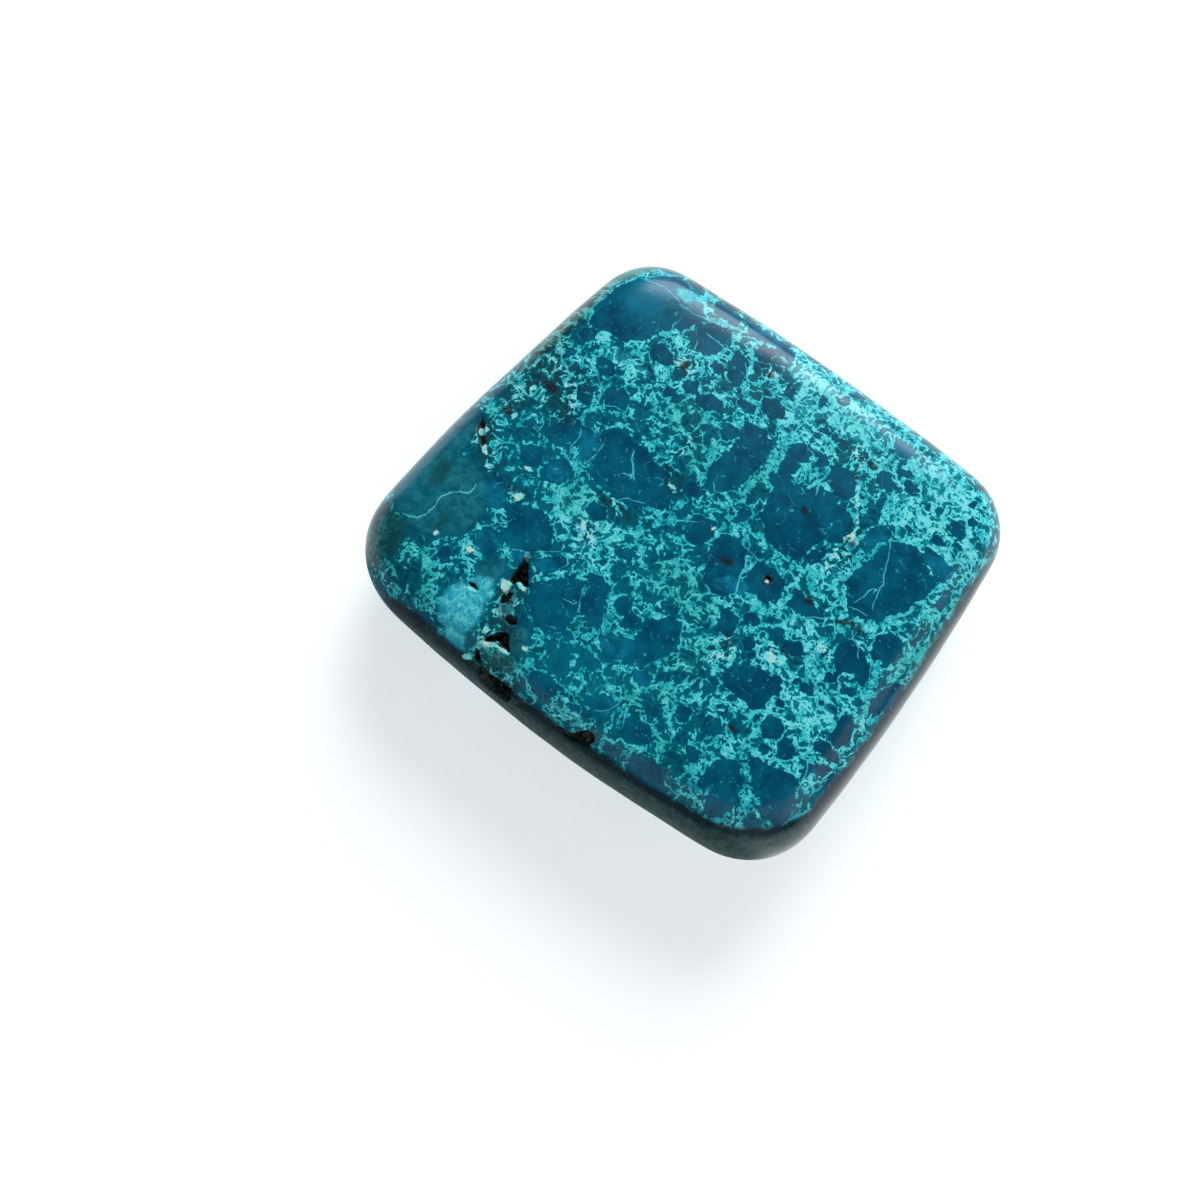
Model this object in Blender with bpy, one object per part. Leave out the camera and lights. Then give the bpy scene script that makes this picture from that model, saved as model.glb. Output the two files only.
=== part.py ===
"""Polished chrysocolla stone: one solid, a rounded four-sided pillow lying on its flat underside.

Metres, +Z up. The origin is under the middle of the stone, on the plane that it rests on, and +X runs along
its longer side.
"""

import math

import bmesh
import bpy
from mathutils import Matrix, Vector

MM = 0.001

# Driving dimensions, in millimetres unless a name says otherwise
THICKNESS = 9.0
TOP_CROWN = 0.5  # the middle of the top stands this much above the end of the rounded edge
EQUATOR_HEIGHT = 4.2  # where the stone is widest
TOP_EDGE_REACH = 3.4  # how far the rounded edge runs in from the side, over and under the equator
FOOT_EDGE_REACH = 4.4
EDGE_SQUARENESS = 2.6  # exponent of the edge's curve: 2 is an ellipse, and more is squarer
MEAN_HALF_WIDTH = 14.3  # turns a reach in from the side into a share of the outline

# Where the four straight sides would meet, and the radius that rounds each corner, anticlockwise
CORNERS = (
    ((15.7, -12.2), 4.3),
    ((13.7, 13.9), 3.8),
    ((-13.7, 12.5), 3.7),
    ((-15.7, -13.9), 4.4),
)
# Degrees by which the side after each corner bows out at its ends
SIDE_BOWS = (3.6, 3.4, 3.7, 6.0)

CORNER_STEPS = 8
SIDE_STEPS = 8
EDGE_STEPS = 8
CROWN_STEPS = 4

STONE_COLOUR = (0.012, 0.16, 0.24, 1.0)
STONE_ROUGHNESS = 0.2


def clear_scene():
    for old in list(bpy.data.objects):
        bpy.data.objects.remove(old)


def bezier_points(start, start_handle, end_handle, end, steps):
    """Points along a cubic Bezier, without its last one."""
    points = []
    for step in range(steps):
        t = step / steps
        u = 1 - t
        points.append(start * u**3 + start_handle * 3 * u * u * t + end_handle * 3 * u * t * t + end * t**3)
    return points


def turned(direction, degrees):
    return Matrix.Rotation(math.radians(degrees), 2) @ direction


def corner_knots(index):
    """Start, end, their tangents and the handle length of one rounded corner."""
    place, radius = CORNERS[index]
    here = Vector(place)
    before = Vector(CORNERS[index - 1][0])
    after = Vector(CORNERS[(index + 1) % len(CORNERS)][0])
    arriving = (here - before).normalized()
    leaving = (after - here).normalized()
    turn = arriving.angle(leaving)
    cut = radius * math.tan(turn / 2)
    start, end = here - arriving * cut, here + leaving * cut
    bow_before, bow_after = SIDE_BOWS[index - 1], SIDE_BOWS[index]
    arc = turn - math.radians(bow_before + bow_after)
    handle = 4 / 3 * math.tan(arc / 4) * (end - start).length / (2 * math.sin(arc / 2))
    return start, end, turned(arriving, bow_before), turned(leaving, -bow_after), handle


def outline_points():
    """The stone's widest outline seen from above, anticlockwise: corner, side, corner, and so on."""
    knots = [corner_knots(index) for index in range(len(CORNERS))]
    points = []
    for index, (start, end, tangent_in, tangent_out, handle) in enumerate(knots):
        corner_handles = (start + tangent_in * handle, end - tangent_out * handle)
        points += bezier_points(start, *corner_handles, end, CORNER_STEPS)
        next_start, _, next_tangent, _, _ = knots[(index + 1) % len(knots)]
        third = (next_start - end).length / 3
        side_handles = (end + tangent_out * third, next_start - next_tangent * third)
        points += bezier_points(end, *side_handles, next_start, SIDE_STEPS)
    low = Vector((min(p.x for p in points), min(p.y for p in points)))
    high = Vector((max(p.x for p in points), max(p.y for p in points)))
    middle = (low + high) / 2
    return [p - middle for p in points]


def edge_levels(reach, height):
    """(share of the outline, distance from the equator) up the rounded edge, without the equator itself."""
    levels = []
    for step in range(1, EDGE_STEPS + 1):
        angle = math.pi / 2 * step / EDGE_STEPS
        inward = reach * (1 - max(0.0, math.cos(angle)) ** (2 / EDGE_SQUARENESS))
        rise = height * math.sin(angle) ** (2 / EDGE_SQUARENESS)
        levels.append((1 - inward / MEAN_HALF_WIDTH, rise))
    return levels


def ring_levels():
    """(share of the outline, height) of each ring, from the flat underside to the last one on the crown."""
    rim_height = THICKNESS - TOP_CROWN
    foot_edge = edge_levels(FOOT_EDGE_REACH, EQUATOR_HEIGHT)
    top_edge = edge_levels(TOP_EDGE_REACH, rim_height - EQUATOR_HEIGHT)
    under = [(share, EQUATOR_HEIGHT - drop) for share, drop in foot_edge]
    over = [(share, EQUATOR_HEIGHT + rise) for share, rise in top_edge]
    rim_share = top_edge[-1][0]
    crown = []
    for step in range(1, CROWN_STEPS):
        left = 1 - step / CROWN_STEPS
        crown.append((rim_share * left, rim_height + TOP_CROWN * (1 - left * left)))
    return under[::-1] + [(1.0, EQUATOR_HEIGHT)] + over + crown


def make_material(name, colour, roughness):
    material = bpy.data.materials.new(name)
    material.use_nodes = True
    shader = material.node_tree.nodes["Principled BSDF"]
    shader.inputs["Base Color"].default_value = colour
    shader.inputs["Roughness"].default_value = roughness
    shader.inputs["Metallic"].default_value = 0.0
    return material


def ring_of_edges(mesh, outline, share, height):
    verts = [mesh.verts.new((p.x * share * MM, p.y * share * MM, height * MM)) for p in outline]
    return [mesh.edges.new((verts[i - 1], verts[i])) for i in range(len(verts))]


def make_stone():
    outline = outline_points()
    mesh = bmesh.new()
    rings = [ring_of_edges(mesh, outline, share, height) for share, height in ring_levels()]
    for lower, upper in zip(rings, rings[1:]):
        bmesh.ops.bridge_loops(mesh, edges=lower + upper)
    bmesh.ops.holes_fill(mesh, edges=rings[0])
    top = bmesh.ops.holes_fill(mesh, edges=rings[-1])["faces"]
    peak = bmesh.ops.poke(mesh, faces=top)["verts"][0]
    peak.co.z = THICKNESS * MM
    bmesh.ops.recalc_face_normals(mesh, faces=mesh.faces)
    data = bpy.data.meshes.new("stone")
    mesh.to_mesh(data)
    mesh.free()
    data.shade_smooth()
    data.materials.append(make_material("chrysocolla", STONE_COLOUR, STONE_ROUGHNESS))
    stone = bpy.data.objects.new("stone", data)
    bpy.context.scene.collection.objects.link(stone)
    return stone


clear_scene()
make_stone()
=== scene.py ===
# A tumbled and polished chrysocolla stone, lying on a pale table.
# A name that ends in Mm holds millimetres in the stone's own frame. Other lengths are metres.
import math
from types import SimpleNamespace

import bpy
import numpy as np
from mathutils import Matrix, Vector, kdtree, noise


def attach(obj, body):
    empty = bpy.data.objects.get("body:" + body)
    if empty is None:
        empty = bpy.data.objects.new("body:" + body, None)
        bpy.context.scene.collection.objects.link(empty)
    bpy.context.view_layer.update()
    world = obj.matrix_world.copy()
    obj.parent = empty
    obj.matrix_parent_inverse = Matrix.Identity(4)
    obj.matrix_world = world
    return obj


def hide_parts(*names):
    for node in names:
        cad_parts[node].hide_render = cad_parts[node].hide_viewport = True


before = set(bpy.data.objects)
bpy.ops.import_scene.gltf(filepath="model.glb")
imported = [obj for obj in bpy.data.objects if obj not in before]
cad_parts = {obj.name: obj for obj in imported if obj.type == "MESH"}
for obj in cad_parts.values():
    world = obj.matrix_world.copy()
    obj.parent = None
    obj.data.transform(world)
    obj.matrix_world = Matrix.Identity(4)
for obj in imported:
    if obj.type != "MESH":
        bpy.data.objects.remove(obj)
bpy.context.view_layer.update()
mm = 0.001
farMm = 99.0                   # further than anything on the stone

# The stone's own shape
stoneShape = {
    "name": "polishedStone",
    "weld": 0.001 * mm,
    "roundingLevels": 2,
    "grain": 0.2 * mm,         # spacing of the mesh all over
    "smoothPasses": 10,
    "smoothFactor": 0.5,
    "hollowMarginMm": 0.3,     # the mesh is finer this far around a hollow
    "hollowTopShare": 0.1,     # and only where topShare is above this
    "hollowCuts": 3,
    "topMm": (3.6, 5.6),       # the top face's marks fade out between these heights
    "footMm": (0.6, 2.6),      # the underside stays flat, and the swell comes in between these heights
    "swellMm": 0.13,           # how far the tumbled surface wanders, always inwards
    "swellSizeMm": 6.5,
    "rippleMm": 0.025,
    "rippleSizeMm": 1.9,
}

# The hollows' walls and floors
hollowShape = {
    "wallMm": 0.14,            # how wide a wall is
    "craggyMm": 0.07,          # how far the crags push it in and out
    "cragsPerMm": 3.0,
    "cragFractal": (0.6, 2.1, 3),
    "leastUp": 0.7,            # the crags grow on a slope, up to one that faces up by this much
    "narrowMm": 7.6,           # hollows get narrower below here
    "narrowing": 0.3,
    "craggyFloor": 0.4,
}

# Open hollows in the top face: how deep, then the corners x, y
hollowsMm = [
    (0.9, [(-6.2, -6.7), (-6.0, -6.7), (-5.75, -7.15), (-5.4, -7.55), (-4.95, -7.95), (-5.25, -8.1),
           (-5.55, -8.0), (-5.75, -8.4), (-6.0, -8.35), (-6.1, -7.7), (-6.1, -7.2)]),
    (0.4, [(-5.75, -8.95), (-5.4, -8.8), (-5.3, -9.3), (-5.55, -9.6), (-5.8, -9.3)]),
    (0.5, [(-4.55, -10.75), (-4.15, -10.65), (-3.85, -10.95), (-3.5, -11.35), (-4.0, -11.4),
           (-4.35, -11.3), (-4.85, -11.75), (-5.0, -11.6), (-4.7, -11.15)]),
    (0.4, [(-4.85, -9.85), (-4.4, -9.75), (-4.1, -10.0), (-4.4, -10.2), (-4.8, -10.15)]),
    (0.3, [(-5.2, -12.3), (-4.8, -12.35), (-4.3, -12.75), (-4.5, -12.95), (-5.0, -12.6)]),
    (0.6, [(-4.4, -12.75), (-3.9, -12.9), (-3.0, -12.75), (-2.2, -12.75), (-1.8, -13.05), (-1.6, -13.6),
           (-3.0, -13.9), (-4.4, -13.7)]),
    (0.3, [(1.3, -12.75), (2.0, -12.4), (2.3, -12.1), (2.65, -11.8), (2.95, -11.85), (3.1, -12.2),
           (2.95, -12.5), (2.4, -12.7), (1.7, -12.9)]),
    (0.25, [(-7.65, -9.85), (-7.3, -9.7), (-7.0, -9.85), (-7.25, -10.0)]),
    (0.15, [(4.6, 0.55), (4.85, 0.5), (4.95, 0.7), (4.8, 0.85), (4.6, 0.8)]),
    (0.25, [(-13.3, -2.3), (-12.9, -2.4), (-12.6, -2.9), (-12.1, -3.3), (-12.2, -3.5), (-12.8, -3.2),
            (-13.2, -2.7)]),
]


# 0 below low and 1 above high
def rise(values, low, high):
    return np.clip((values - low) / (high - low), 0, 1)


def eased(share):
    return share * share * (3 - 2 * share)


# 0 low down on the stone and 1 on its top face
def topShare(places):
    return eased(rise(places[:, 2], *stoneShape["topMm"]))


def onlySelect(obj):
    bpy.ops.object.select_all(action="DESELECT")
    bpy.context.view_layer.objects.active = obj
    obj.select_set(True)


def copyOfNode(node, name):
    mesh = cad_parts[node].data.copy()
    mesh.materials.clear()
    obj = bpy.data.objects.new(name, mesh)
    bpy.context.scene.collection.objects.link(obj)
    onlySelect(obj)
    bpy.ops.object.mode_set(mode="EDIT")
    bpy.ops.mesh.select_all(action="SELECT")
    bpy.ops.mesh.remove_doubles(threshold=stoneShape["weld"])
    bpy.ops.mesh.tris_convert_to_quads()
    bpy.ops.object.mode_set(mode="OBJECT")
    return obj


def readPlaces(obj):
    places = np.empty(len(obj.data.vertices) * 3)
    obj.data.vertices.foreach_get("co", places)
    return places.reshape(-1, 3) / mm


def readNormals(obj):
    normals = np.empty(len(obj.data.vertices) * 3, np.float32)
    obj.data.vertices.foreach_get("normal", normals)
    return normals.reshape(-1, 3).astype(float)


def writePlaces(obj, placesMm):
    obj.data.vertices.foreach_set("co", (placesMm * mm).astype(np.float32).ravel())
    obj.data.update()


def storeMap(obj, name, values):
    attribute = obj.data.attributes.new(name, "FLOAT", "POINT")
    attribute.data.foreach_set("value", np.asarray(values, np.float32))


def refineNearHollows(obj):
    places = readPlaces(obj)
    reach = pieceDistance(places[:, 0], places[:, 1], [corners for _, corners in hollowsMm])
    onTop = topShare(places)
    onlySelect(obj)
    bpy.ops.object.mode_set(mode="EDIT")
    bpy.ops.mesh.select_mode(type="FACE")
    bpy.ops.mesh.select_all(action="DESELECT")
    bpy.ops.object.mode_set(mode="OBJECT")
    for face in obj.data.polygons:
        corner = face.vertices[0]
        close = reach[corner] < stoneShape["hollowMarginMm"]
        face.select = bool(close and onTop[corner] > stoneShape["hollowTopShare"])
    bpy.ops.object.mode_set(mode="EDIT")
    bpy.ops.mesh.subdivide(number_cuts=stoneShape["hollowCuts"], smoothness=0.0)
    bpy.ops.object.mode_set(mode="OBJECT")


# Blue pieces in the top face, each as its corners x, y
bluePiecesMm = [
    [(-1.2, -12.9), (0.4, -12.8), (1.9, -12.6), (2.9, -12.2), (3.3, -12.7), (4.6, -12.8), (6.2, -13.0),
     (7.4, -13.3), (7.2, -14.0), (-1.2, -14.0)],
    # top left
    [(-12.0, 9.9), (-11.2, 10.9), (-10.4, 11.5), (-9.4, 11.3), (-8.2, 10.9), (-7.3, 10.2), (-7.8, 9.1),
     (-8.8, 8.1), (-9.0, 7.2), (-9.8, 6.4), (-11.2, 6.1), (-12.3, 6.0), (-12.9, 7.2), (-12.5, 8.8)],
    [(-7.6, 9.0), (-7.2, 10.2), (-6.0, 10.6), (-5.2, 10.3), (-5.5, 9.3), (-5.9, 8.5), (-6.8, 8.2)],
    [(-8.3, 7.6), (-7.6, 7.4), (-7.2, 6.9), (-7.4, 6.5), (-8.4, 6.5), (-8.5, 7.0)],
    [(-12.3, 5.6), (-11.6, 5.8), (-11.3, 5.3), (-11.9, 4.9), (-12.3, 5.1)],
    [(-7.7, 11.9), (-6.8, 12.0), (-5.8, 11.8), (-5.9, 11.1), (-6.9, 10.9), (-7.6, 11.2)],
    [(-5.9, 6.7), (-5.2, 6.9), (-4.9, 6.4), (-5.3, 6.0), (-5.9, 6.3)],
    [(-6.5, 5.7), (-6.1, 5.8), (-5.9, 5.2), (-6.3, 5.1)],
    [(-5.7, 5.8), (-5.3, 5.8), (-5.2, 5.1), (-5.7, 5.0)],
    [(-10.7, 4.6), (-9.9, 4.9), (-9.3, 4.4), (-9.3, 4.0), (-10.0, 3.9), (-10.5, 4.1)],
    [(-8.9, 3.7), (-8.2, 3.9), (-7.6, 3.7), (-7.3, 3.1), (-7.5, 2.7), (-8.3, 2.6), (-8.9, 3.2)],
    [(-10.2, 2.9), (-9.6, 3.0), (-9.2, 2.5), (-9.0, 2.1), (-9.9, 1.9), (-10.2, 2.3)],
    [(-12.4, 3.9), (-11.8, 4.2), (-11.6, 3.7), (-12.1, 3.4)],
    # left
    [(-8.0, 0.9), (-7.2, 1.0), (-6.95, 0.4), (-6.95, -0.7), (-7.3, -0.8), (-8.0, -0.2)],
    [(-9.6, 1.2), (-9.0, 1.0), (-8.4, 0.8), (-8.1, -0.1), (-8.3, -0.8), (-9.2, -1.0), (-9.9, -0.6),
     (-9.7, 0.3)],
    [(-11.0, -0.4), (-10.5, -0.6), (-10.2, -1.1), (-10.9, -1.2), (-11.3, -0.9)],
    [(-8.6, -1.6), (-7.9, -1.3), (-7.3, -1.5), (-7.3, -2.2), (-7.6, -2.7), (-8.3, -2.9), (-8.7, -2.5)],
    [(-9.9, -1.6), (-9.3, -1.6), (-9.0, -2.3), (-9.5, -2.8), (-10.0, -2.6), (-10.4, -2.2)],
    [(-10.9, -4.5), (-10.2, -4.1), (-9.4, -4.6), (-8.9, -5.3), (-9.1, -5.8), (-9.8, -6.0), (-10.6, -5.6),
     (-10.9, -5.1)],
    [(-8.6, -4.9), (-7.9, -4.6), (-6.9, -4.3), (-6.2, -4.7), (-5.4, -5.4), (-5.9, -6.3), (-6.6, -6.8),
     (-7.4, -7.0), (-8.1, -6.7), (-8.0, -6.0), (-8.4, -5.7), (-8.9, -5.4)],
    [(-11.6, -12.0), (-11.1, -12.2), (-11.2, -12.7), (-11.7, -12.6)],
    [(-9.2, -13.1), (-8.8, -12.6), (-8.2, -12.5), (-7.9, -12.9), (-8.5, -13.2)],
    [(-10.0, -9.2), (-9.5, -9.3), (-9.1, -9.6), (-9.4, -10.0), (-10.0, -9.8)],
    # top middle
    [(-5.4, 12.0), (-3.5, 12.2), (-2.3, 12.0), (-1.9, 11.6), (-2.6, 11.3), (-3.4, 11.5), (-4.4, 11.3),
     (-5.2, 11.3)],
    [(-4.0, 11.1), (-3.2, 11.3), (-3.0, 10.5), (-3.5, 10.2), (-4.0, 10.4)],
    [(-4.9, 9.8), (-4.2, 9.9), (-3.6, 9.3), (-3.4, 8.6), (-3.2, 8.1), (-4.0, 8.3), (-4.8, 8.9)],
    [(-1.4, 10.1), (-0.7, 10.1), (-0.6, 9.5), (-1.2, 9.3)],
    [(-1.9, 8.7), (-1.3, 9.0), (-0.5, 8.9), (-0.3, 8.3), (-1.1, 8.0), (-1.6, 8.1)],
    [(0.4, 11.1), (0.9, 10.9), (1.0, 10.4), (0.7, 10.2), (0.4, 10.5)],
    [(1.3, 11.8), (1.7, 12.0), (2.0, 11.6), (1.9, 11.1), (1.4, 10.9), (1.1, 11.3)],
    [(-5.4, 8.9), (-4.9, 8.7), (-4.4, 8.2), (-4.9, 8.0), (-5.4, 8.2)],
    [(-2.7, 7.9), (-1.9, 7.9), (-1.7, 7.5), (-2.3, 7.2), (-2.8, 7.4)],
    [(-4.8, 6.4), (-4.2, 6.9), (-3.5, 6.9), (-3.3, 6.4), (-3.9, 6.0), (-4.6, 6.0)],
    [(2.3, 9.6), (2.6, 9.5), (2.7, 9.1), (2.4, 9.2)],
    [(2.9, 9.4), (3.3, 9.6), (3.4, 9.2), (3.0, 9.2)],
    [(1.5, 9.5), (1.9, 9.6), (2.0, 9.2), (1.5, 9.1)],
    [(0.3, 8.5), (0.6, 8.5), (0.6, 8.2), (0.3, 8.2)],
    # middle
    [(-7.5, 1.4), (-6.9, 2.1), (-6.4, 2.3), (-5.9, 1.8), (-5.0, 1.95), (-3.9, 1.8), (-3.1, 1.7),
     (-2.8, 1.2), (-2.2, 1.0), (-1.95, 0.3), (-2.2, -0.2), (-3.0, -0.5), (-3.5, -1.1), (-4.4, -1.1),
     (-5.2, -1.2), (-6.2, -1.1), (-6.9, -0.9), (-6.8, 0.3)],
    [(-1.9, 6.9), (-0.9, 7.2), (-0.3, 6.9), (0.3, 6.6), (0.5, 5.9), (0.4, 5.0), (0.2, 4.4), (0.3, 3.5),
     (-0.2, 2.8), (-0.8, 2.3), (-1.5, 2.7), (-1.6, 3.4), (-1.5, 4.0), (-1.4, 5.0), (-1.3, 5.6),
     (-1.4, 6.3)],
    [(-2.3, 6.1), (-1.9, 6.3), (-1.6, 5.9), (-1.7, 5.4), (-2.2, 5.3), (-2.4, 5.7)],
    [(0.9, 7.5), (1.6, 8.1), (2.1, 7.9), (2.3, 7.2), (2.1, 6.6), (2.2, 6.2), (1.8, 5.6), (1.3, 5.6),
     (1.2, 6.3), (1.1, 7.0)],
    [(1.4, 5.6), (2.3, 6.0), (3.2, 5.9), (3.5, 6.6), (4.5, 6.7), (5.2, 6.2), (5.4, 5.2), (5.5, 3.8),
     (5.3, 2.6), (4.4, 2.2), (3.2, 2.3), (2.7, 2.9), (2.2, 3.1), (2.0, 4.0), (1.9, 4.8), (1.2, 5.0),
     (1.2, 5.5)],
    [(3.5, 7.9), (3.9, 8.3), (4.6, 8.4), (5.1, 8.0), (5.4, 7.3), (5.0, 6.9), (4.4, 6.9), (3.7, 7.0)],
    [(2.2, 8.1), (3.0, 8.2), (3.3, 7.8), (2.9, 7.4), (2.4, 7.6)],
    [(1.0, 3.8), (1.4, 3.9), (1.5, 3.4), (1.1, 3.1)],
    [(1.2, 2.7), (1.7, 3.0), (1.9, 2.5), (1.7, 1.9), (1.3, 2.0)],
    [(-1.9, 2.1), (-1.3, 2.4), (-1.1, 1.9), (-1.4, 1.4), (-1.9, 1.5)],
    [(-0.3, 1.1), (0.4, 1.3), (0.8, 0.9), (1.0, 0.3), (0.8, -0.3), (0.3, -0.5), (-0.4, -0.3), (-0.6, 0.3)],
    [(-1.5, 0.9), (-1.0, 0.9), (-0.8, 0.4), (-1.2, 0.0), (-1.5, 0.3)],
    [(1.3, 0.9), (2.0, 1.4), (2.8, 1.2), (3.2, 0.4), (3.5, -0.3), (3.8, -1.0), (3.6, -1.5), (2.9, -1.8),
     (2.1, -1.7), (1.8, -1.0), (1.4, -0.6), (1.3, 0.2)],
    [(3.9, 1.2), (4.7, 1.3), (5.5, 1.1), (5.9, 0.3), (5.5, -0.4), (4.6, -0.5), (4.2, -0.9), (3.8, -0.2),
     (3.7, 0.6)],
    [(6.3, 1.2), (7.4, 1.2), (8.4, 1.0), (8.5, 0.6), (7.6, 0.3), (6.9, 0.1), (6.3, 0.4)],
    [(-2.6, -3.2), (-1.8, -2.7), (-1.5, -3.0), (-2.0, -3.5), (-2.6, -3.6)],
    [(-5.4, -2.0), (-4.6, -2.0), (-4.2, -2.5), (-4.7, -3.0), (-5.4, -2.8)],
    [(4.0, -2.2), (4.8, -2.0), (5.2, -2.5), (5.0, -3.3), (4.5, -3.3), (4.1, -2.8)],
    # lower middle
    [(1.3, -5.3), (1.9, -4.4), (2.7, -4.2), (3.2, -5.0), (3.4, -5.7), (3.1, -6.3), (2.7, -6.9),
     (2.5, -7.5), (1.7, -7.9), (0.9, -7.5), (1.2, -6.8), (1.3, -6.0)],
    [(0.0, -7.0), (0.7, -6.9), (1.2, -7.2), (1.0, -7.8), (0.3, -7.9), (0.0, -7.6)],
    [(-3.9, -6.6), (-3.5, -6.1), (-2.7, -5.9), (-2.5, -6.4), (-2.2, -7.0), (-2.0, -7.7), (-1.9, -8.5),
     (-2.3, -9.1), (-3.0, -9.4), (-3.9, -9.0), (-4.6, -8.8), (-4.6, -8.0), (-4.9, -7.7), (-4.4, -7.2)],
    [(-5.1, -6.8), (-5.0, -6.1), (-4.6, -5.7), (-4.3, -6.0), (-4.4, -6.5), (-4.8, -6.9)],
    [(-2.3, -6.0), (-1.5, -5.7), (-1.0, -6.1), (-0.7, -6.6), (-0.5, -7.2), (-1.0, -7.7), (-1.6, -7.3),
     (-2.1, -6.8)],
    [(-2.9, -5.4), (-2.3, -5.0), (-1.6, -5.2), (-1.3, -5.7), (-1.9, -5.9), (-2.6, -5.7)],
    [(-0.8, -5.2), (-0.1, -4.8), (0.1, -5.5), (-0.2, -6.1), (-0.8, -5.9)],
    [(0.2, -5.6), (0.9, -5.4), (1.0, -6.0), (0.5, -6.3), (0.2, -6.1)],
    [(2.3, -7.9), (2.9, -7.4), (3.5, -7.6), (3.4, -8.1), (2.7, -8.3)],
    [(3.4, -10.2), (3.9, -9.7), (4.8, -9.6), (5.4, -9.9), (5.3, -10.6), (4.6, -11.1), (4.0, -10.9),
     (3.7, -10.6)],
    [(2.1, -9.8), (2.8, -9.7), (2.9, -10.3), (2.3, -10.7), (2.0, -10.4)],
    [(-1.8, -11.2), (-1.0, -11.0), (-0.2, -11.0), (-0.1, -11.6), (-0.6, -12.2), (-1.5, -12.0),
     (-1.9, -11.7)],
    [(0.8, -11.3), (1.3, -11.2), (1.5, -11.5), (1.0, -11.7)],
    [(-1.8, -8.5), (-1.4, -8.3), (-1.1, -8.8), (-1.5, -9.0)],
    [(4.4, -8.7), (4.8, -8.4), (5.1, -8.8), (4.7, -9.0)],
    # top right
    [(5.1, 11.6), (5.7, 12.0), (6.4, 11.8), (6.6, 11.3), (6.0, 10.9), (5.3, 11.0)],
    [(10.4, 11.3), (10.9, 11.7), (10.9, 11.1), (10.5, 11.0)],
    [(11.1, 10.8), (11.6, 10.9), (11.7, 10.4), (11.2, 10.3)],
    [(10.4, 9.6), (11.0, 10.3), (11.6, 9.8), (11.7, 9.3), (10.9, 9.1)],
    [(11.2, 9.0), (11.9, 9.1), (11.8, 8.6), (11.3, 8.7)],
    [(10.0, 8.8), (10.8, 8.7), (11.2, 8.4), (10.8, 8.1), (10.2, 8.2)],
    [(10.1, 7.7), (11.0, 7.9), (11.6, 7.6), (11.1, 7.2), (10.4, 7.3)],
    [(11.7, 7.6), (12.1, 7.7), (12.2, 7.2), (11.8, 7.1)],
    [(9.3, 10.1), (9.7, 10.2), (9.8, 9.6), (9.4, 9.5)],
    [(7.0, 10.1), (7.9, 10.2), (8.1, 9.7), (7.4, 9.4)],
    [(5.6, 9.6), (6.2, 9.8), (6.9, 9.3), (6.7, 8.8), (5.9, 8.8)],
    [(6.1, 10.5), (7.1, 10.6), (7.2, 10.2), (6.4, 10.0)],
    [(8.3, 5.9), (8.5, 6.6), (9.2, 7.1), (10.0, 7.4), (10.7, 7.0), (11.3, 6.6), (12.0, 6.3), (12.0, 5.5),
     (11.7, 5.0), (11.6, 4.2), (11.1, 3.4), (10.9, 2.8), (10.3, 2.4), (9.4, 1.9), (9.0, 2.2), (8.6, 2.8),
     (8.2, 3.2), (8.1, 4.1), (8.3, 5.0)],
    [(5.2, 6.2), (5.9, 6.5), (6.3, 6.0), (6.5, 5.2), (6.3, 4.6), (5.7, 4.4), (5.5, 5.0)],
    [(5.6, 3.4), (6.2, 4.0), (6.4, 3.4), (6.2, 2.7), (5.6, 2.7)],
    [(7.5, 6.9), (8.1, 6.7), (8.1, 6.0), (8.0, 5.2), (7.5, 5.4), (7.3, 6.2)],
    [(12.4, 6.4), (12.9, 6.7), (13.2, 6.2), (13.1, 5.4), (12.6, 5.5)],
    [(12.9, 4.0), (13.2, 3.9), (13.2, 3.1), (12.9, 3.2)],
    # right
    [(11.5, 2.5), (12.2, 2.9), (12.7, 2.6), (13.0, 2.2), (12.9, 1.5), (12.5, 0.9), (12.0, 0.7),
     (11.6, 1.2), (11.3, 1.9)],
    [(13.2, -0.1), (13.5, 0.6), (14.0, 1.1), (14.3, 0.8), (14.3, -0.5), (14.0, -1.1), (13.4, -1.3),
     (13.1, -0.9)],
    [(9.9, 0.3), (10.4, 0.9), (11.2, 0.8), (11.8, 0.6), (12.2, 0.0), (12.3, -0.5), (11.6, -0.4),
     (10.9, -0.9), (10.2, -0.6), (9.9, -0.2)],
    [(11.5, -1.2), (12.2, -0.9), (12.4, -1.2), (12.1, -1.6), (11.6, -1.6)],
    [(10.3, -1.5), (10.9, -1.0), (11.1, -1.3), (10.8, -1.7), (10.4, -1.8)],
    [(6.7, -1.0), (7.3, -0.9), (7.4, -1.8), (6.9, -1.9), (6.6, -1.5)],
    [(7.6, -1.3), (8.3, -1.0), (8.9, -1.3), (8.4, -1.7), (7.8, -1.7)],
    [(5.1, -1.5), (5.7, -1.3), (6.1, -1.6), (5.6, -2.0), (5.1, -1.9)],
    [(9.7, -2.6), (10.1, -2.3), (10.6, -2.6), (10.4, -3.0), (9.8, -3.0)],
    [(10.9, -2.5), (11.2, -2.4), (11.3, -2.8), (11.0, -2.8)],
    [(9.2, -2.5), (9.5, -2.4), (9.5, -2.8), (9.3, -2.8)],
    [(12.4, -2.4), (12.9, -2.0), (13.3, -2.6), (13.6, -3.3), (13.4, -4.1), (12.8, -4.1), (12.4, -3.4)],
    [(5.8, -2.9), (6.2, -2.3), (6.5, -2.6), (6.3, -3.1)],
    [(9.2, -4.1), (9.7, -3.9), (9.6, -4.3), (9.3, -4.4)],
    [(6.2, -4.1), (6.9, -3.6), (7.6, -3.4), (8.1, -3.5), (8.7, -3.0), (9.0, -3.6), (8.9, -4.3),
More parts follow.
